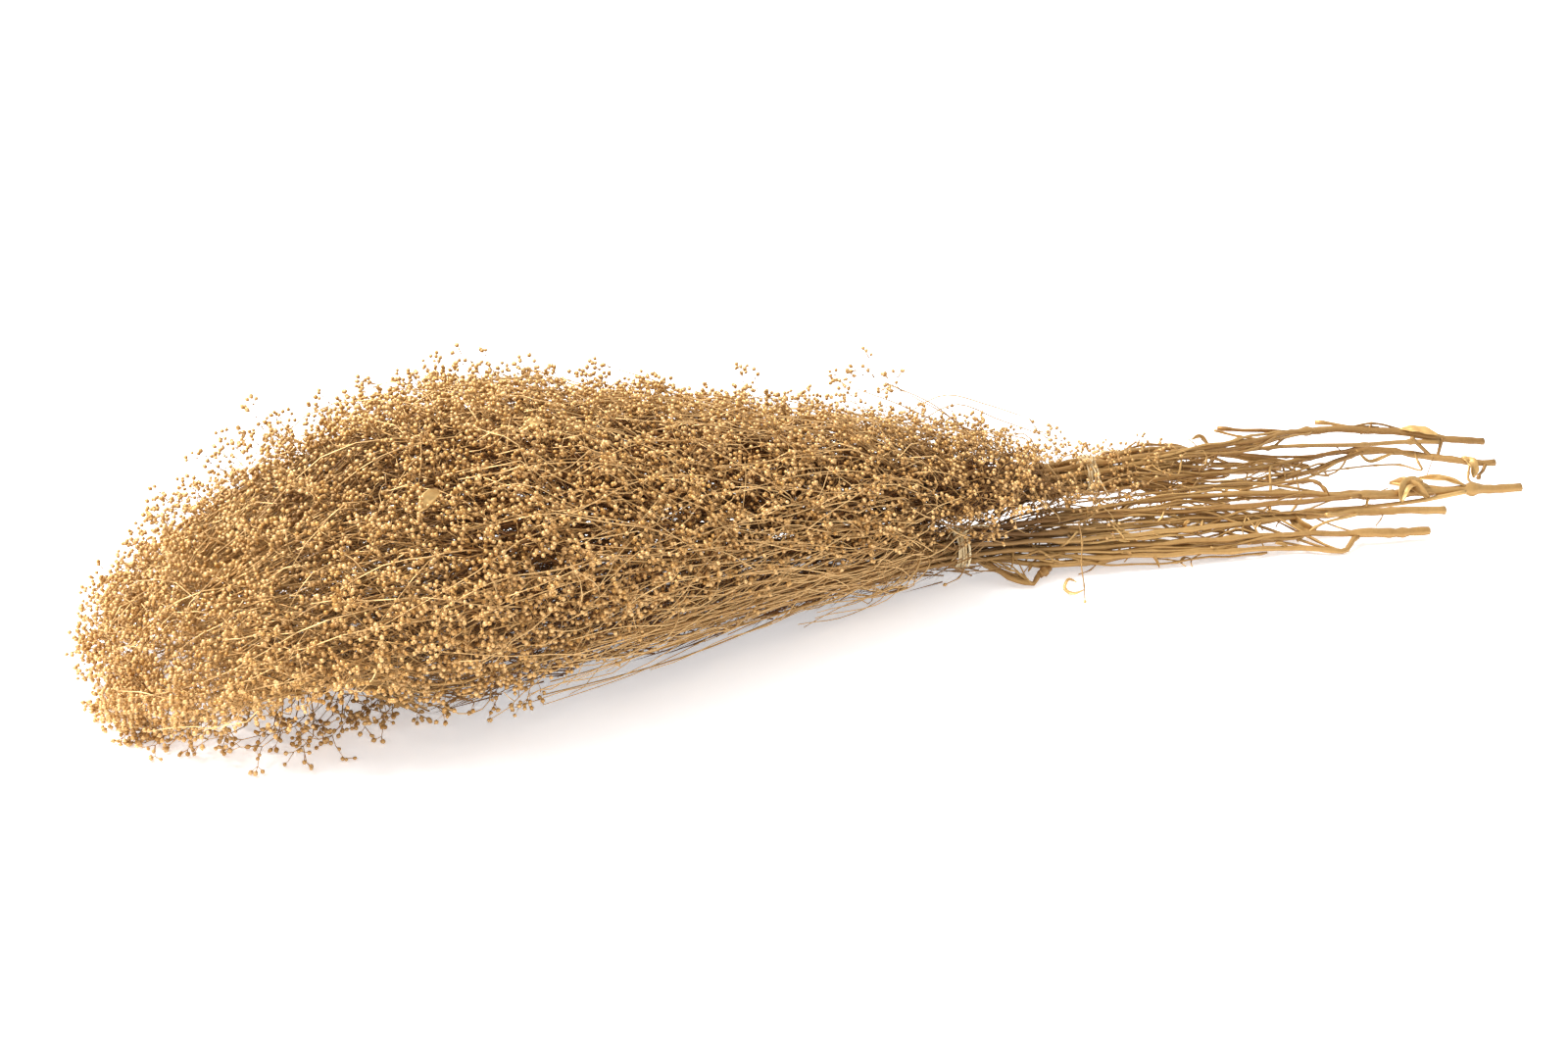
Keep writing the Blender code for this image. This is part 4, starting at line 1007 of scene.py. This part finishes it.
def add_node(tree, kind, inputs, output=0, **settings):
    """One output of a new node with its settings; an input takes a value or another output."""
    made = tree.nodes.new("ShaderNode" + kind)
    for key, value in settings.items():
        setattr(made, key, value)
    fill(tree, made, inputs)
    return made.outputs[output]


def fill(tree, node, inputs):
    """Sets inputs of a node, or links them to the outputs that feed them."""
    for key, value in inputs.items():
        if isinstance(value, bpy.types.NodeSocket):
            tree.links.new(value, node.inputs[key])
        else:
            node.inputs[key].default_value = value


def new_material(name):
    """A new material, its node tree, its shader and the place on the object."""
    material = bpy.data.materials.new(name)
    material.use_nodes = True
    tree = material.node_tree
    place = add_node(tree, "TexCoord", {}, "Object")
    return material, tree, tree.nodes["Principled BSDF"], place


def sprayed_plant(name, gold, shade, bare_brown_and_shade, metal, roughness, grain):
    """Dried plant under metallic gold spray: bare brown where the spray did not reach, and deep in the
    head partly as painted shade.

    The tone of each twig or bud shifts it between two golds, and grain is the size of the
    spray's speckle, which also roughens the surface."""
    material, tree, shader, place = new_material(name)
    tone = add_node(tree, "Attribute", {}, "Fac", attribute_name="tone")
    coat = add_node(tree, "Attribute", {}, "Fac", attribute_name="coat")
    speckle = add_node(tree, "TexNoise", {"Vector": place, "Scale": 1 / grain, "Detail": 3.0})
    patch = add_node(tree, "TexNoise", {"Vector": place, "Scale": 1 / PATCH_SIZE, "Detail": 2.0})
    mixed = add_node(tree, "Math", {0: speckle, 1: 0.45, 2: tone}, operation="MULTIPLY_ADD")
    lean = add_node(tree, "Math", {0: patch, 1: 0.5, 2: mixed}, operation="MULTIPLY_ADD")
    ramp = add_node(tree, "MapRange", {"Value": lean, "From Min": 0.30, "From Max": 1.60})
    golds = {0: ramp, 6: linear(shade), 7: linear(gold)}
    paint = add_node(tree, "Mix", golds, 2, data_type="RGBA")
    rough = {"Value": speckle, "To Min": roughness - 0.08, "To Max": roughness + 0.14}
    bumps = {"Height": speckle, "Strength": 0.35, "Distance": SPECKLE_HEIGHT}
    # Deep in the head the bare brown under the gold is partly painted shade.
    cover = {0: coat, 6: linear(bare_brown_and_shade), 7: paint}
    fill(tree, shader, {
        "Base Color": add_node(tree, "Mix", cover, 2, data_type="RGBA"),
        "Metallic": add_node(tree, "Math", {0: coat, 1: metal}, operation="MULTIPLY"),
        "Roughness": add_node(tree, "MapRange", rough),
        "Normal": add_node(tree, "Bump", bumps),
        "Specular IOR Level": 0.3,
    })
    return material


def dried_raffia():
    """Split palm leaf, dull and fibrous: pale straw with fine lengthwise fibres."""
    material, tree, shader, place = new_material("dried_raffia_fibre")
    tone = add_node(tree, "Attribute", {}, "Fac", attribute_name="tone")
    stretched = add_node(tree, "Mapping", {"Vector": place, "Scale": (1.0, 0.10, 0.10)})
    grain = {"Vector": stretched, "Scale": 1 / FIBRE_WIDTH, "Detail": 4.0}
    fibre = add_node(tree, "TexNoise", grain)
    lean = add_node(tree, "Math", {0: fibre, 1: 0.8, 2: tone}, operation="MULTIPLY_ADD")
    ramp = add_node(tree, "MapRange", {"Value": lean, "From Min": 0.2, "From Max": 1.6})
    straws = {0: ramp, 6: linear("#BC9C68"), 7: linear("#EFDDB4")}
    ridges = {"Height": fibre, "Strength": 0.5, "Distance": FIBRE_HEIGHT}
    fill(tree, shader, {
        "Base Color": add_node(tree, "Mix", straws, 2, data_type="RGBA"),
        "Normal": add_node(tree, "Bump", ridges),
        "Roughness": 0.62,
        "Metallic": 0.12,
    })
    return material


# Pieces

def bare_shoots(pile, leaders, which):
    """The trunk and shoots of one stem, swelled at the joints, from the cut end to their tips."""
    chance = np.random.default_rng(300 + which)
    stem = STEMS[which]
    for row in np.flatnonzero(leaders.owner == which):
        start, end = leaders.start[row], leaders.end[row] + 0.004
        open_end = max(end, min(start, 0.04))
        x = np.linspace(start, open_end, max(int((start - open_end) / 0.0035), 2))
        inside = np.linspace(open_end, end, max(int((open_end - end) / 0.013), 2))
        x = np.concatenate([x, inside[1:]])
        path = leaders.along(row, x)
        if row < leaders.main:
            thin = np.clip((stem["dense"][0] - 0.03 - x) / 0.30, 0, 1)
            radius = shoot_radius(stem, leaders.number[row], x) * (1 - 0.45 * thin)
            sides, pale = 8, 0.08
        else:
            knee = np.abs(np.mod(x * 1000 + 13 * row, 46) - 23) > 21.2
            thick = SIDE_SHOOT_RADIUS * (0.72 + 0.28 * (row % 4) / 2)
            radius = thick * (1 - 0.55 * (start - x) / (start - end)) * (1 + 0.55 * knee)
            sides, pale = 4, 0.28
        grain = 1 + 0.06 * np.sin(x * 700 + row) + 0.06 * chance.normal(size=len(x))
        sway = np.sin(x[:, None] * (150, 190) + chance.uniform(0, 6, 2))
        path[:, 1:] += 0.35 * MM * sway * rise(x, start, -0.02)[:, None]
        path = above_table(path, radius * 1.1)
        edge, radius = radius[:1] * 0.86, radius * grain
        if leaders.number[row] == 0:
            path = np.concatenate([path[:1] + (0.0002, 0, 0), path])
            radius = np.concatenate([edge, radius])
        pile.add_tube(path, radius, sides, WOOD, pale + 0.50 * chance.random(1))


def stray_shoots(piles, leaders, chance):
    """Thin shoots that leave the stems behind the ties and run between them into the ties.

    Each leaves one shoot, goes over towards another, and bends a little at its joints."""
    steps, joints = 24, 6
    t = np.linspace(0, 1, steps)
    for _ in range(STRAY_SHOOTS):
        row, other = chance.integers(0, leaders.main, 2)
        band, other_band = (STEMS[leaders.owner[i]]["tie"] for i in (row, other))
        tie = band["x"]
        highest = min(leaders.start[row], leaders.start[other]) - 0.012
        start = min(chance.uniform(tie + 0.04, tie + 0.26), highest)
        end = max(start - chance.uniform(0.04, 0.15), tie + chance.uniform(0.006, 0.03))
        x = start + (end - start) * t
        aside = chance.normal(0, 1.0, (joints, 2)) * (2.6 * MM, 1.8 * MM)
        aside[0] = 0
        bent = np.stack([np.interp(t, np.linspace(0, 1, joints), line) for line in aside.T], -1)
        path = leaders.along(row, x)
        over = chance.uniform(0.2, 0.9) * rise(t, 0, 0.35)[:, None]
        free = rise(x, tie + 0.008, 0.055)[:, None]
        if band is not other_band:
            over = over * 0.45 * free
        path = path + (leaders.along(other, x) - path) * over
        path[:, 1:] += bent * free
        knee = np.exp(-((np.mod(t * (joints - 1) + 0.5, 1.0) - 0.5) / 0.10) ** 2)
        radius = MM * chance.uniform(0.38, 0.85) * (1 - 0.35 * t) * (1 + 0.45 * knee)
        path = above_table(path, radius * 1.1)
        piles[leaders.owner[row]].add_tube(path, radius, 5, WOOD, 0.15 + 0.75 * chance.random(1))


def broken_twigs(pile, stem, chance):
    """The stubs of side twigs that broke off short of the band."""
    for low, high in stem["twigs"]:
        t = np.linspace(0, 1, 9)[:, None]
        path = np.array(low) * (1 - t) + np.array(high) * t
        radius = 0.00125 - 0.0004 * t[:, 0] + 0.0005 * (t[:, 0] > 0.86)
        path = wander(path[None], 0.0006, chance)[0]
        pile.add_tube(path, radius, 7, WOOD, chance.random(1))


def leaf(points, width, fold, chance):
    """A dead leaf: along its midrib, half width (sin pi u) ^ 0.6, folded up on both sides of it.

    Slow waves crumple it square to its face."""
    path, t, _ = through(points, 15)
    u, v = t / t[-1], np.linspace(-1, 1, 7)
    along = unit(np.gradient(path, axis=0))
    lean = unit(np.array((-0.2, -0.6, 0.8)) + 0.5 * stray(chance, 1))
    across = unit(np.cross(along, lean))
    face = np.cross(across, along)
    half = width / 2 * (0.04 + 0.96 * np.sin(math.pi * np.clip(u, 0.02, 0.98)) ** 0.6)
    u, half = u[:, None], half[:, None]
    wave = np.sin(9 * u + 3 * v + chance.uniform(0, 6)) * np.sin(5 * v - 7 * u)
    out = half * v * math.cos(fold)
    lift = half * (np.abs(v) * math.sin(fold) + 0.28 * wave)
    grid = path[:, None] + out[..., None] * across[:, None] + lift[..., None] * face[:, None]
    return above_table(grid, 0.4 * MM)


def single_details(piles, leaders, chance):
    """The side twigs, leaves and loose sprays that the photograph shows one by one."""
    for number, (first, last, points) in enumerate(SIDE_TWIGS):
        points = np.array(metres(points))
        pile = piles[nearest_stem(leaders, points[:1])[0]]
        path, t, knots = through(points, 8 * len(points))
        swell = np.exp(-((t[:, None] - knots[1:-1]) / (1.3 * MM)) ** 2).sum(1)
        radius = taper(first, last, len(t)) * (1 + 0.55 * swell)
        path = above_table(path, radius)
        pile.add_tube(path, radius, 7, WOOD, chance.random(1))
        if number in BUD_TIPPED:
            way = unit(path[-1:] - path[-3:-2])
            size = np.array([BUD_RADIUS * 0.85])
            pile.add(buds(path[-1:] + way * MM, way, size, FINE_BUD, 8, chance), BUD, 0.6)
    for width, fold, points in LEAVES:
        points = np.array(metres(points))
        pile = piles[nearest_stem(leaders, points[:1])[0]]
        grid = leaf(points, width * MM, fold, chance)
        pale = 1.0 if points[0, 0] < 0 else 0.0
        pile.add(sheet(grid, 0.25 * MM), WOOD, chance.uniform(0.5, 1.2) + pale, 1.0)
    for forks, size, points in LOOSE_SPRAYS:
        points = np.array(metres(points))
        owner = nearest_stem(leaders, points[:1])
        path = through(points, 14)[0]
        piles[owner[0]].add_tube(path, taper(0.36, 0.26, 14), 4, TWIG, 0.8, 1.0)
        way = unit(path[-1:] - path[-2:-1])
        grown = grow_sprays(path[-1:], way, np.array([size]), forks, chance)
        add_sprays(piles, owner, grown, FINE_BUD, 6, chance, coat=1.0, slim=False)


def litter(piles, leaders, chance):
    """Short broken twigs and scales that cling to the bare stems between the ties and the cuts."""
    row = chance.integers(0, len(leaders.owner), LITTER)
    x = chance.uniform(0.115, 0.365, LITTER)
    near = leaders.at(row, x)
    band_x = np.array([stem["tie"]["x"] for stem in STEMS])[leaders.owner]
    good = np.isfinite(near).all(1) & (x < leaders.start[row] - 0.008)
    good &= np.abs(x - band_x[row]) > 0.016
    near, row, count = near[good], row[good], np.count_nonzero(good)
    side = stray(chance, count) * (0.5, 1.0, 1.0)
    side[:, 0] -= 0.9 * chance.choice([1.0, 1.0, -0.6], count)
    long = chance.uniform(0.005, 0.019, count)
    tip = above_table(near + unit(side) * long[:, None], TWIG_LIFT)
    bend = (near + tip) / 2 + 0.12 * long[:, None] * stray(chance, count)
    bend = above_table(bend, TWIG_LIFT)
    for i, (low, middle, high) in enumerate(zip(near, bend, tip)):
        pile = piles[leaders.owner[row[i]]]
        if i % 3:
            path = through((low, middle, high), 7)[0]
            radius = np.array((0.62, 0.48, 0.40, 0.60, 0.38, 0.34, 0.44)) * MM
            pile.add_tube(path, radius * chance.uniform(0.7, 1.5), 5, WOOD, chance.random(1))
        else:
            high = low + (high - low) * min(1.0, 0.008 / long[i])
            points = (low, (low + high) / 2 + (0, 0, 0.001), high)
            grid = leaf(points, chance.uniform(1.5, 3.0) * MM, 0.8, chance)
            pile.add(sheet(grid[::2], 0.22 * MM), WOOD, chance.random(1))


def table_sprays(piles, carriers, chance):
    """Sprays that lie spread on the table in front of the head: dark thin twigs, pointed buds."""
    tips = np.insert(TABLE_TIPS, 2, 0.004, axis=1)
    ways = unit(tips - (-0.215, -0.030, 0.004))
    roots = tips - ways * 0.030
    roots = np.concatenate([roots, roots - ways * 0.012 + ways[:, [1, 0, 2]] * (0.010, -0.010, 0)])
    roots[:, 2] = chance.uniform(0.004, 0.009, len(roots))
    ways = np.tile(ways, (2, 1))
    links, owner = attach(roots, ways, *carriers)
    links = above_table(links, 0.001)
    for which, pile in enumerate(piles):
        pile.add_twigs(links, owner == which, taper(0.42, 0.30, 4), 4, chance, coat=0.35)
    flat = unit(np.cross(ways, (0.0, 0.0, 1.0)) + 0.15 * stray(chance, len(ways)))
    grown = grow_sprays(roots, ways, chance.uniform(1.05, 1.30, len(roots)), FORKS, chance, flat)
    add_sprays(piles, owner, grown, FINE_BUD, 6, chance, slim=False)


def raffia_band(name, leaders, material):
    """Raffia strands wound side by side round one bundle, with a knot on top and two tails."""
    band = BANDS[name]
    pile = Pile()
    chance = np.random.default_rng(len(name))
    rows = [row for row in range(leaders.main) if STEMS[leaders.owner[row]]["tie"] is band]
    turn = np.linspace(0, math.tau, 73)
    out = np.stack([np.cos(turn), np.sin(turn)], -1)
    for strand in range(STRANDS):
        x = band["x"] + (strand - STRANDS // 2) * STRAND_SPACING + 0.0002 * chance.normal()
        centres = leaders.at(np.array(rows), np.full(len(rows), x))[:, 1:]
        radii = np.array([float(shoot_radius(STEMS[leaders.owner[row]], leaders.number[row], x))
                          for row in rows])
        far = centres[None] @ out[:, :, None]
        pick = np.argmax(far[:, :, 0] + radii, axis=1)
        loop = centres[pick] + out * (radii[pick, None] + 0.0007 + 0.0002 * strand)
        for _ in range(3):
            loop[1:-1] = 0.5 * loop[1:-1] + 0.25 * (loop[:-2] + loop[2:])
        lean = 0.0006 * np.sin(turn + strand)
        path = np.concatenate([(x + lean)[:, None], loop], axis=1)
        pile.add_tube(path, STRAND_RADIUS * (1 + 0.1 * np.sin(5 * turn + strand)), 6, 0,
                      chance.random(1), flat=0.35, across=(1.0, 0.0, 0.0))
        if strand == STRANDS // 2:
            seat = path[np.argmax(path[:, 2] * 0.75 - path[:, 1] * 0.66)] + (0.0, -0.0006, 0.0006)
    t = np.linspace(0, math.tau, 40)
    for size, tilt in ((0.0024, 0.4), (0.0020, -0.9)):
        knot = seat + size * np.stack([
            np.sin(t) + 0.5 * np.sin(2 * t + tilt),
            np.cos(t + tilt) * 0.8,
            0.35 + 0.35 * np.cos(3 * t),
        ], -1)
        pile.add_tube(knot, 0.0006, 6, 0, chance.random(1), flat=0.6)
    tails = [((-7, -4, 4.5), (-12, -8, 3)), ((7, -2, 5), (14, -3, 4))]
    if name == "back":
        tails.append(((1.5, -12, -9), (3.5, -21, -17)))
    for tail in tails:
        path = through(seat + np.array(metres(((0, 0, 0), *tail))), 16)[0]
        pile.add_tube(path, taper(0.6, 0.3, 16), 6, 0, chance.random(1), flat=0.4)
    ends = unit(stray(chance, FRAYED) + (0, -0.4, 0.5)) * chance.uniform(0.003, 0.0065, (FRAYED, 1))
    roots = np.repeat(seat[None], FRAYED, 0)
    pile.add(needles(roots, seat + ends, 0.45 * MM), 0, chance.random(FRAYED))
    band_piece = pile.piece(f"raffia_strands_{name}", [material])
    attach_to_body(band_piece, "root")
    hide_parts(f"raffia_band_{name}")


def carrier_paths(leaders, paths, owners):
    """All paths that a spray can grow from, branches and shoots, with as many points on each."""
    paths, owners = list(paths), list(owners)
    t = np.linspace(0, 1, CARRIER_POINTS)
    for row, which in enumerate(leaders.owner):
        limit = min(STEMS[which]["tie"]["branches_from"], leaders.start[row])
        x = np.linspace(limit, max(leaders.end[row], HEAD_TIP + 0.03), CARRIER_POINTS)
        paths.append(leaders.along(row, x))
        owners.append(which)
    dense = [np.stack([np.interp(t, np.linspace(0, 1, len(path)), line) for line in path.T], -1)
             for path in paths]
    return np.stack(dense), np.array(owners)


def add_layer(piles, carriers, spacing, depths, shape, sides, density, chance):
    """One layer of sprays below the outline, each on a twig from the nearest carrier."""
    x, turn = outline_spots(spacing, chance, density)
    depth = chance.uniform(*depths, len(x)) + lumps(x, turn) - 3 * MM * (np.sin(turn) > 0.2)
    depth += airy(x, turn) * (depths[0] > 0)
    # The blunt open end is covered from its rim to its middle.
    depth += np.where(x < BLUNT_END, 0.040 * (1 - np.sqrt(chance.random(len(x)))), 0.0)
    tip, out, way = outline_point(x, turn, depth)
    kept = clear_of_gap(tip)
    tip, out, way = tip[kept], out[kept], way[kept]
    ways = unit(0.75 * out + 0.75 * way + 0.55 * stray(chance, len(tip)))
    size = chance.uniform(0.78, 1.15, len(tip))
    roots = above_table(tip - ways * (SPRAY_LENGTH * size)[:, None], 0.002)
    ways = unit(tip - roots)
    links, owner = attach(roots, ways, *carriers)
    links = above_table(links, 0.0008)
    for which, pile in enumerate(piles):
        pile.add_twigs(links, owner == which, taper(0.36, 0.26, 4), 3, chance)
    grown = grow_sprays(roots, ways, size, FORKS, chance)
    add_sprays(piles, owner, grown, shape, sides, chance)


def twig_buds(piles, twigs, owner, chance):
    """Small sprays on the long twigs that run along the outline, at their ends and half way."""
    roots, ways = [], []
    for share in (0.45, 0.72, 1.0):
        at = int(share * (twigs.shape[1] - 1))
        heading = unit(twigs[:, at] - twigs[:, at - 1])
        roots.append(twigs[:, at])
        ways.append(unit(heading + 0.5 * stray(chance, len(twigs)) * (1.1 - share)))
    roots, ways = np.concatenate(roots), np.concatenate(ways)
    y, z, _, _ = head_section(roots[:, 0])
    bare_edge = (roots[:, 0] > -0.17) & (roots[:, 2] < z) & (roots[:, 1] < y)
    some = (chance.random(len(roots)) < 0.40) & clear_of_gap(roots) & ~bare_edge
    sizes = chance.uniform(0.6, 0.9, len(roots))[some]
    grown = grow_sprays(roots[some], ways[some], sizes, 2, chance)
    add_sprays(piles, np.tile(owner, 3)[some], grown, PLAIN_BUD, 5, chance)


def grow_bunch(leaders):
    """Grows everything on the shoots and gathers it in a pile for each stem."""
    piles = [Pile() for _ in STEMS]
    chance = np.random.default_rng(7)
    for which, stem in enumerate(STEMS):
        bare_shoots(piles[which], leaders, which)
        broken_twigs(piles[which], stem, chance)
    grown, owner = branches(leaders, chance)
    twigs, twig_owner = surface_twigs(leaders, chance)
    short, short_owner = short_twigs(leaders, chance)
    edge, edge_owner = edge_shoots(leaders, chance)
    low, high, inner_owner = thicket(leaders, chance)
    for which, pile in enumerate(piles):
        pile.add_twigs(grown, owner == which, taper(0.50, 0.275, 9), 4, chance)
        pile.add_twigs(twigs, twig_owner == which, taper(0.37, 0.23, 10), 4, chance, 0.7, 0.5)
        pile.add_twigs(short, short_owner == which, taper(0.34, 0.22, 6), 3, chance, 0.8, 0.5, 1.0)
        pile.add_twigs(edge, edge_owner == which, taper(0.62, 0.34, 14), 4, chance, coat=0.85)
        mine = inner_owner == which
        x = low[mine, 0]
        golden = 0.05 + 0.90 * rise(x, -0.17, -0.08) + 0.35 * rise(x, 0.02, 0.05)
        pile.add(needles(low[mine], high[mine], 0.52 * MM), TWIG, tone_of(mine, chance), golden)
    carriers = carrier_paths(leaders, grown, owner)
    for spacing, depths, shape, sides, density in (
        (OUTER_SPACING, (0.006, 0.015), PLAIN_BUD, 5, bud_density),
        (INNER_SPACING, (0.018, 0.045), DEEP_BUD, 4, bud_density),
        (FRINGE_SPACING, (-0.003, 0.004), PLAIN_BUD, 5, fringe_density),
    ):
        add_layer(piles, carriers, spacing, depths, shape, sides, density, chance)
    table_sprays(piles, carriers, chance)
    single_details(piles, leaders, chance)
    litter(piles, leaders, chance)
    stray_shoots(piles, leaders, chance)
    twig_buds(piles, twigs, twig_owner, chance)
    return piles


def camera_and_light():
    """The photograph's view, a large soft light from the far upper left and a white floor."""
    turn, up = math.radians(CAMERA_AZIMUTH), math.radians(CAMERA_ELEVATION)
    back = Vector((math.sin(turn) * math.cos(up), -math.cos(turn) * math.cos(up), math.sin(up)))
    target = Vector((SHIFT[0], SHIFT[1], 0.030))
    lens = bpy.data.cameras.new("photo_view")
    lens.lens, lens.sensor_width, lens.clip_start = 70, 36, 0.05
    camera = placed("photo_view", lens)
    camera.location = target + back * CAMERA_DISTANCE
    camera.rotation_euler = (-back).to_track_quat("-Z", "Y").to_euler()
    bpy.context.scene.camera = camera
    bpy.context.scene.view_settings.view_transform = "Standard"
    for name, place, size, power in (
        ("window_light", (-1.1, 0.5, 1.75), 0.7, 94.0),
        ("front_fill", (-0.9, -1.9, 0.5), 1.6, 9.0),
    ):
        lamp = bpy.data.lights.new(name, "AREA")
        lamp.shape, lamp.size, lamp.energy = "SQUARE", size, power
        light = placed(name, lamp)
        light.location = place
        light.rotation_euler = (target - light.location).to_track_quat("-Z", "Y").to_euler()
    world = bpy.data.worlds.new("pale_room")
    world.use_nodes = True
    sky = {"Color": linear("#FFFFFF"), "Strength": 0.86}
    fill(world.node_tree, world.node_tree.nodes["Background"], sky)
    bpy.context.scene.world = world
    reach = 20.0
    mesh = bpy.data.meshes.new("floor")
    corners = [(-reach, -reach, 0), (reach, -reach, 0), (reach, reach, 0), (-reach, reach, 0)]
    mesh.from_pydata(corners, [], [(0, 1, 2, 3)])
    # Matte paper has no gloss, so the bunch throws soft pale shadows and no mirror image.
    paper, tree, shader, _ = new_material("matte_white_paper")
    fill(tree, shader, {"Base Color": linear("#F8F8F8"), "Roughness": 0.9,
                        "Emission Color": linear("#FDFDFF"), "Emission Strength": 0.42})
    mesh.materials.append(paper)
    floor = placed("floor", mesh)
    floor.location.z = -0.0002


def main():
    """Makes the finishes, the view and the ten pieces that replace the frame's nodes.

    Sprayed twigs are satin, buds glint a little more, and woody stems are darker and coarser."""
    materials = [sprayed_plant(*finish) for finish in (
        ("gold_sprayed_dry_twig", "#D8B27A", "#AC7F44", "#6C421A", 0.40, 0.42, 1.5 * MM),
        ("gold_sprayed_dry_bud", "#DAB37B", "#AD7E3E", "#684018", 0.40, 0.36, 1.2 * MM),
        ("gold_sprayed_woody_stem", "#CFA96C", "#875D2E", "#6A4A28", 0.42, 0.40, 2.0 * MM),
    )]
    raffia = dried_raffia()
    camera_and_light()
    leaders = Leaders()
    for name, pile in zip(STEM_NAMES, grow_bunch(leaders)):
        piece = pile.piece(name.replace("gypsophila_stem", "grown_stem"), materials)
        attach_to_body(piece, "root")
        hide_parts(name)
    for name in BANDS:
        raffia_band(name, leaders, raffia)


main()
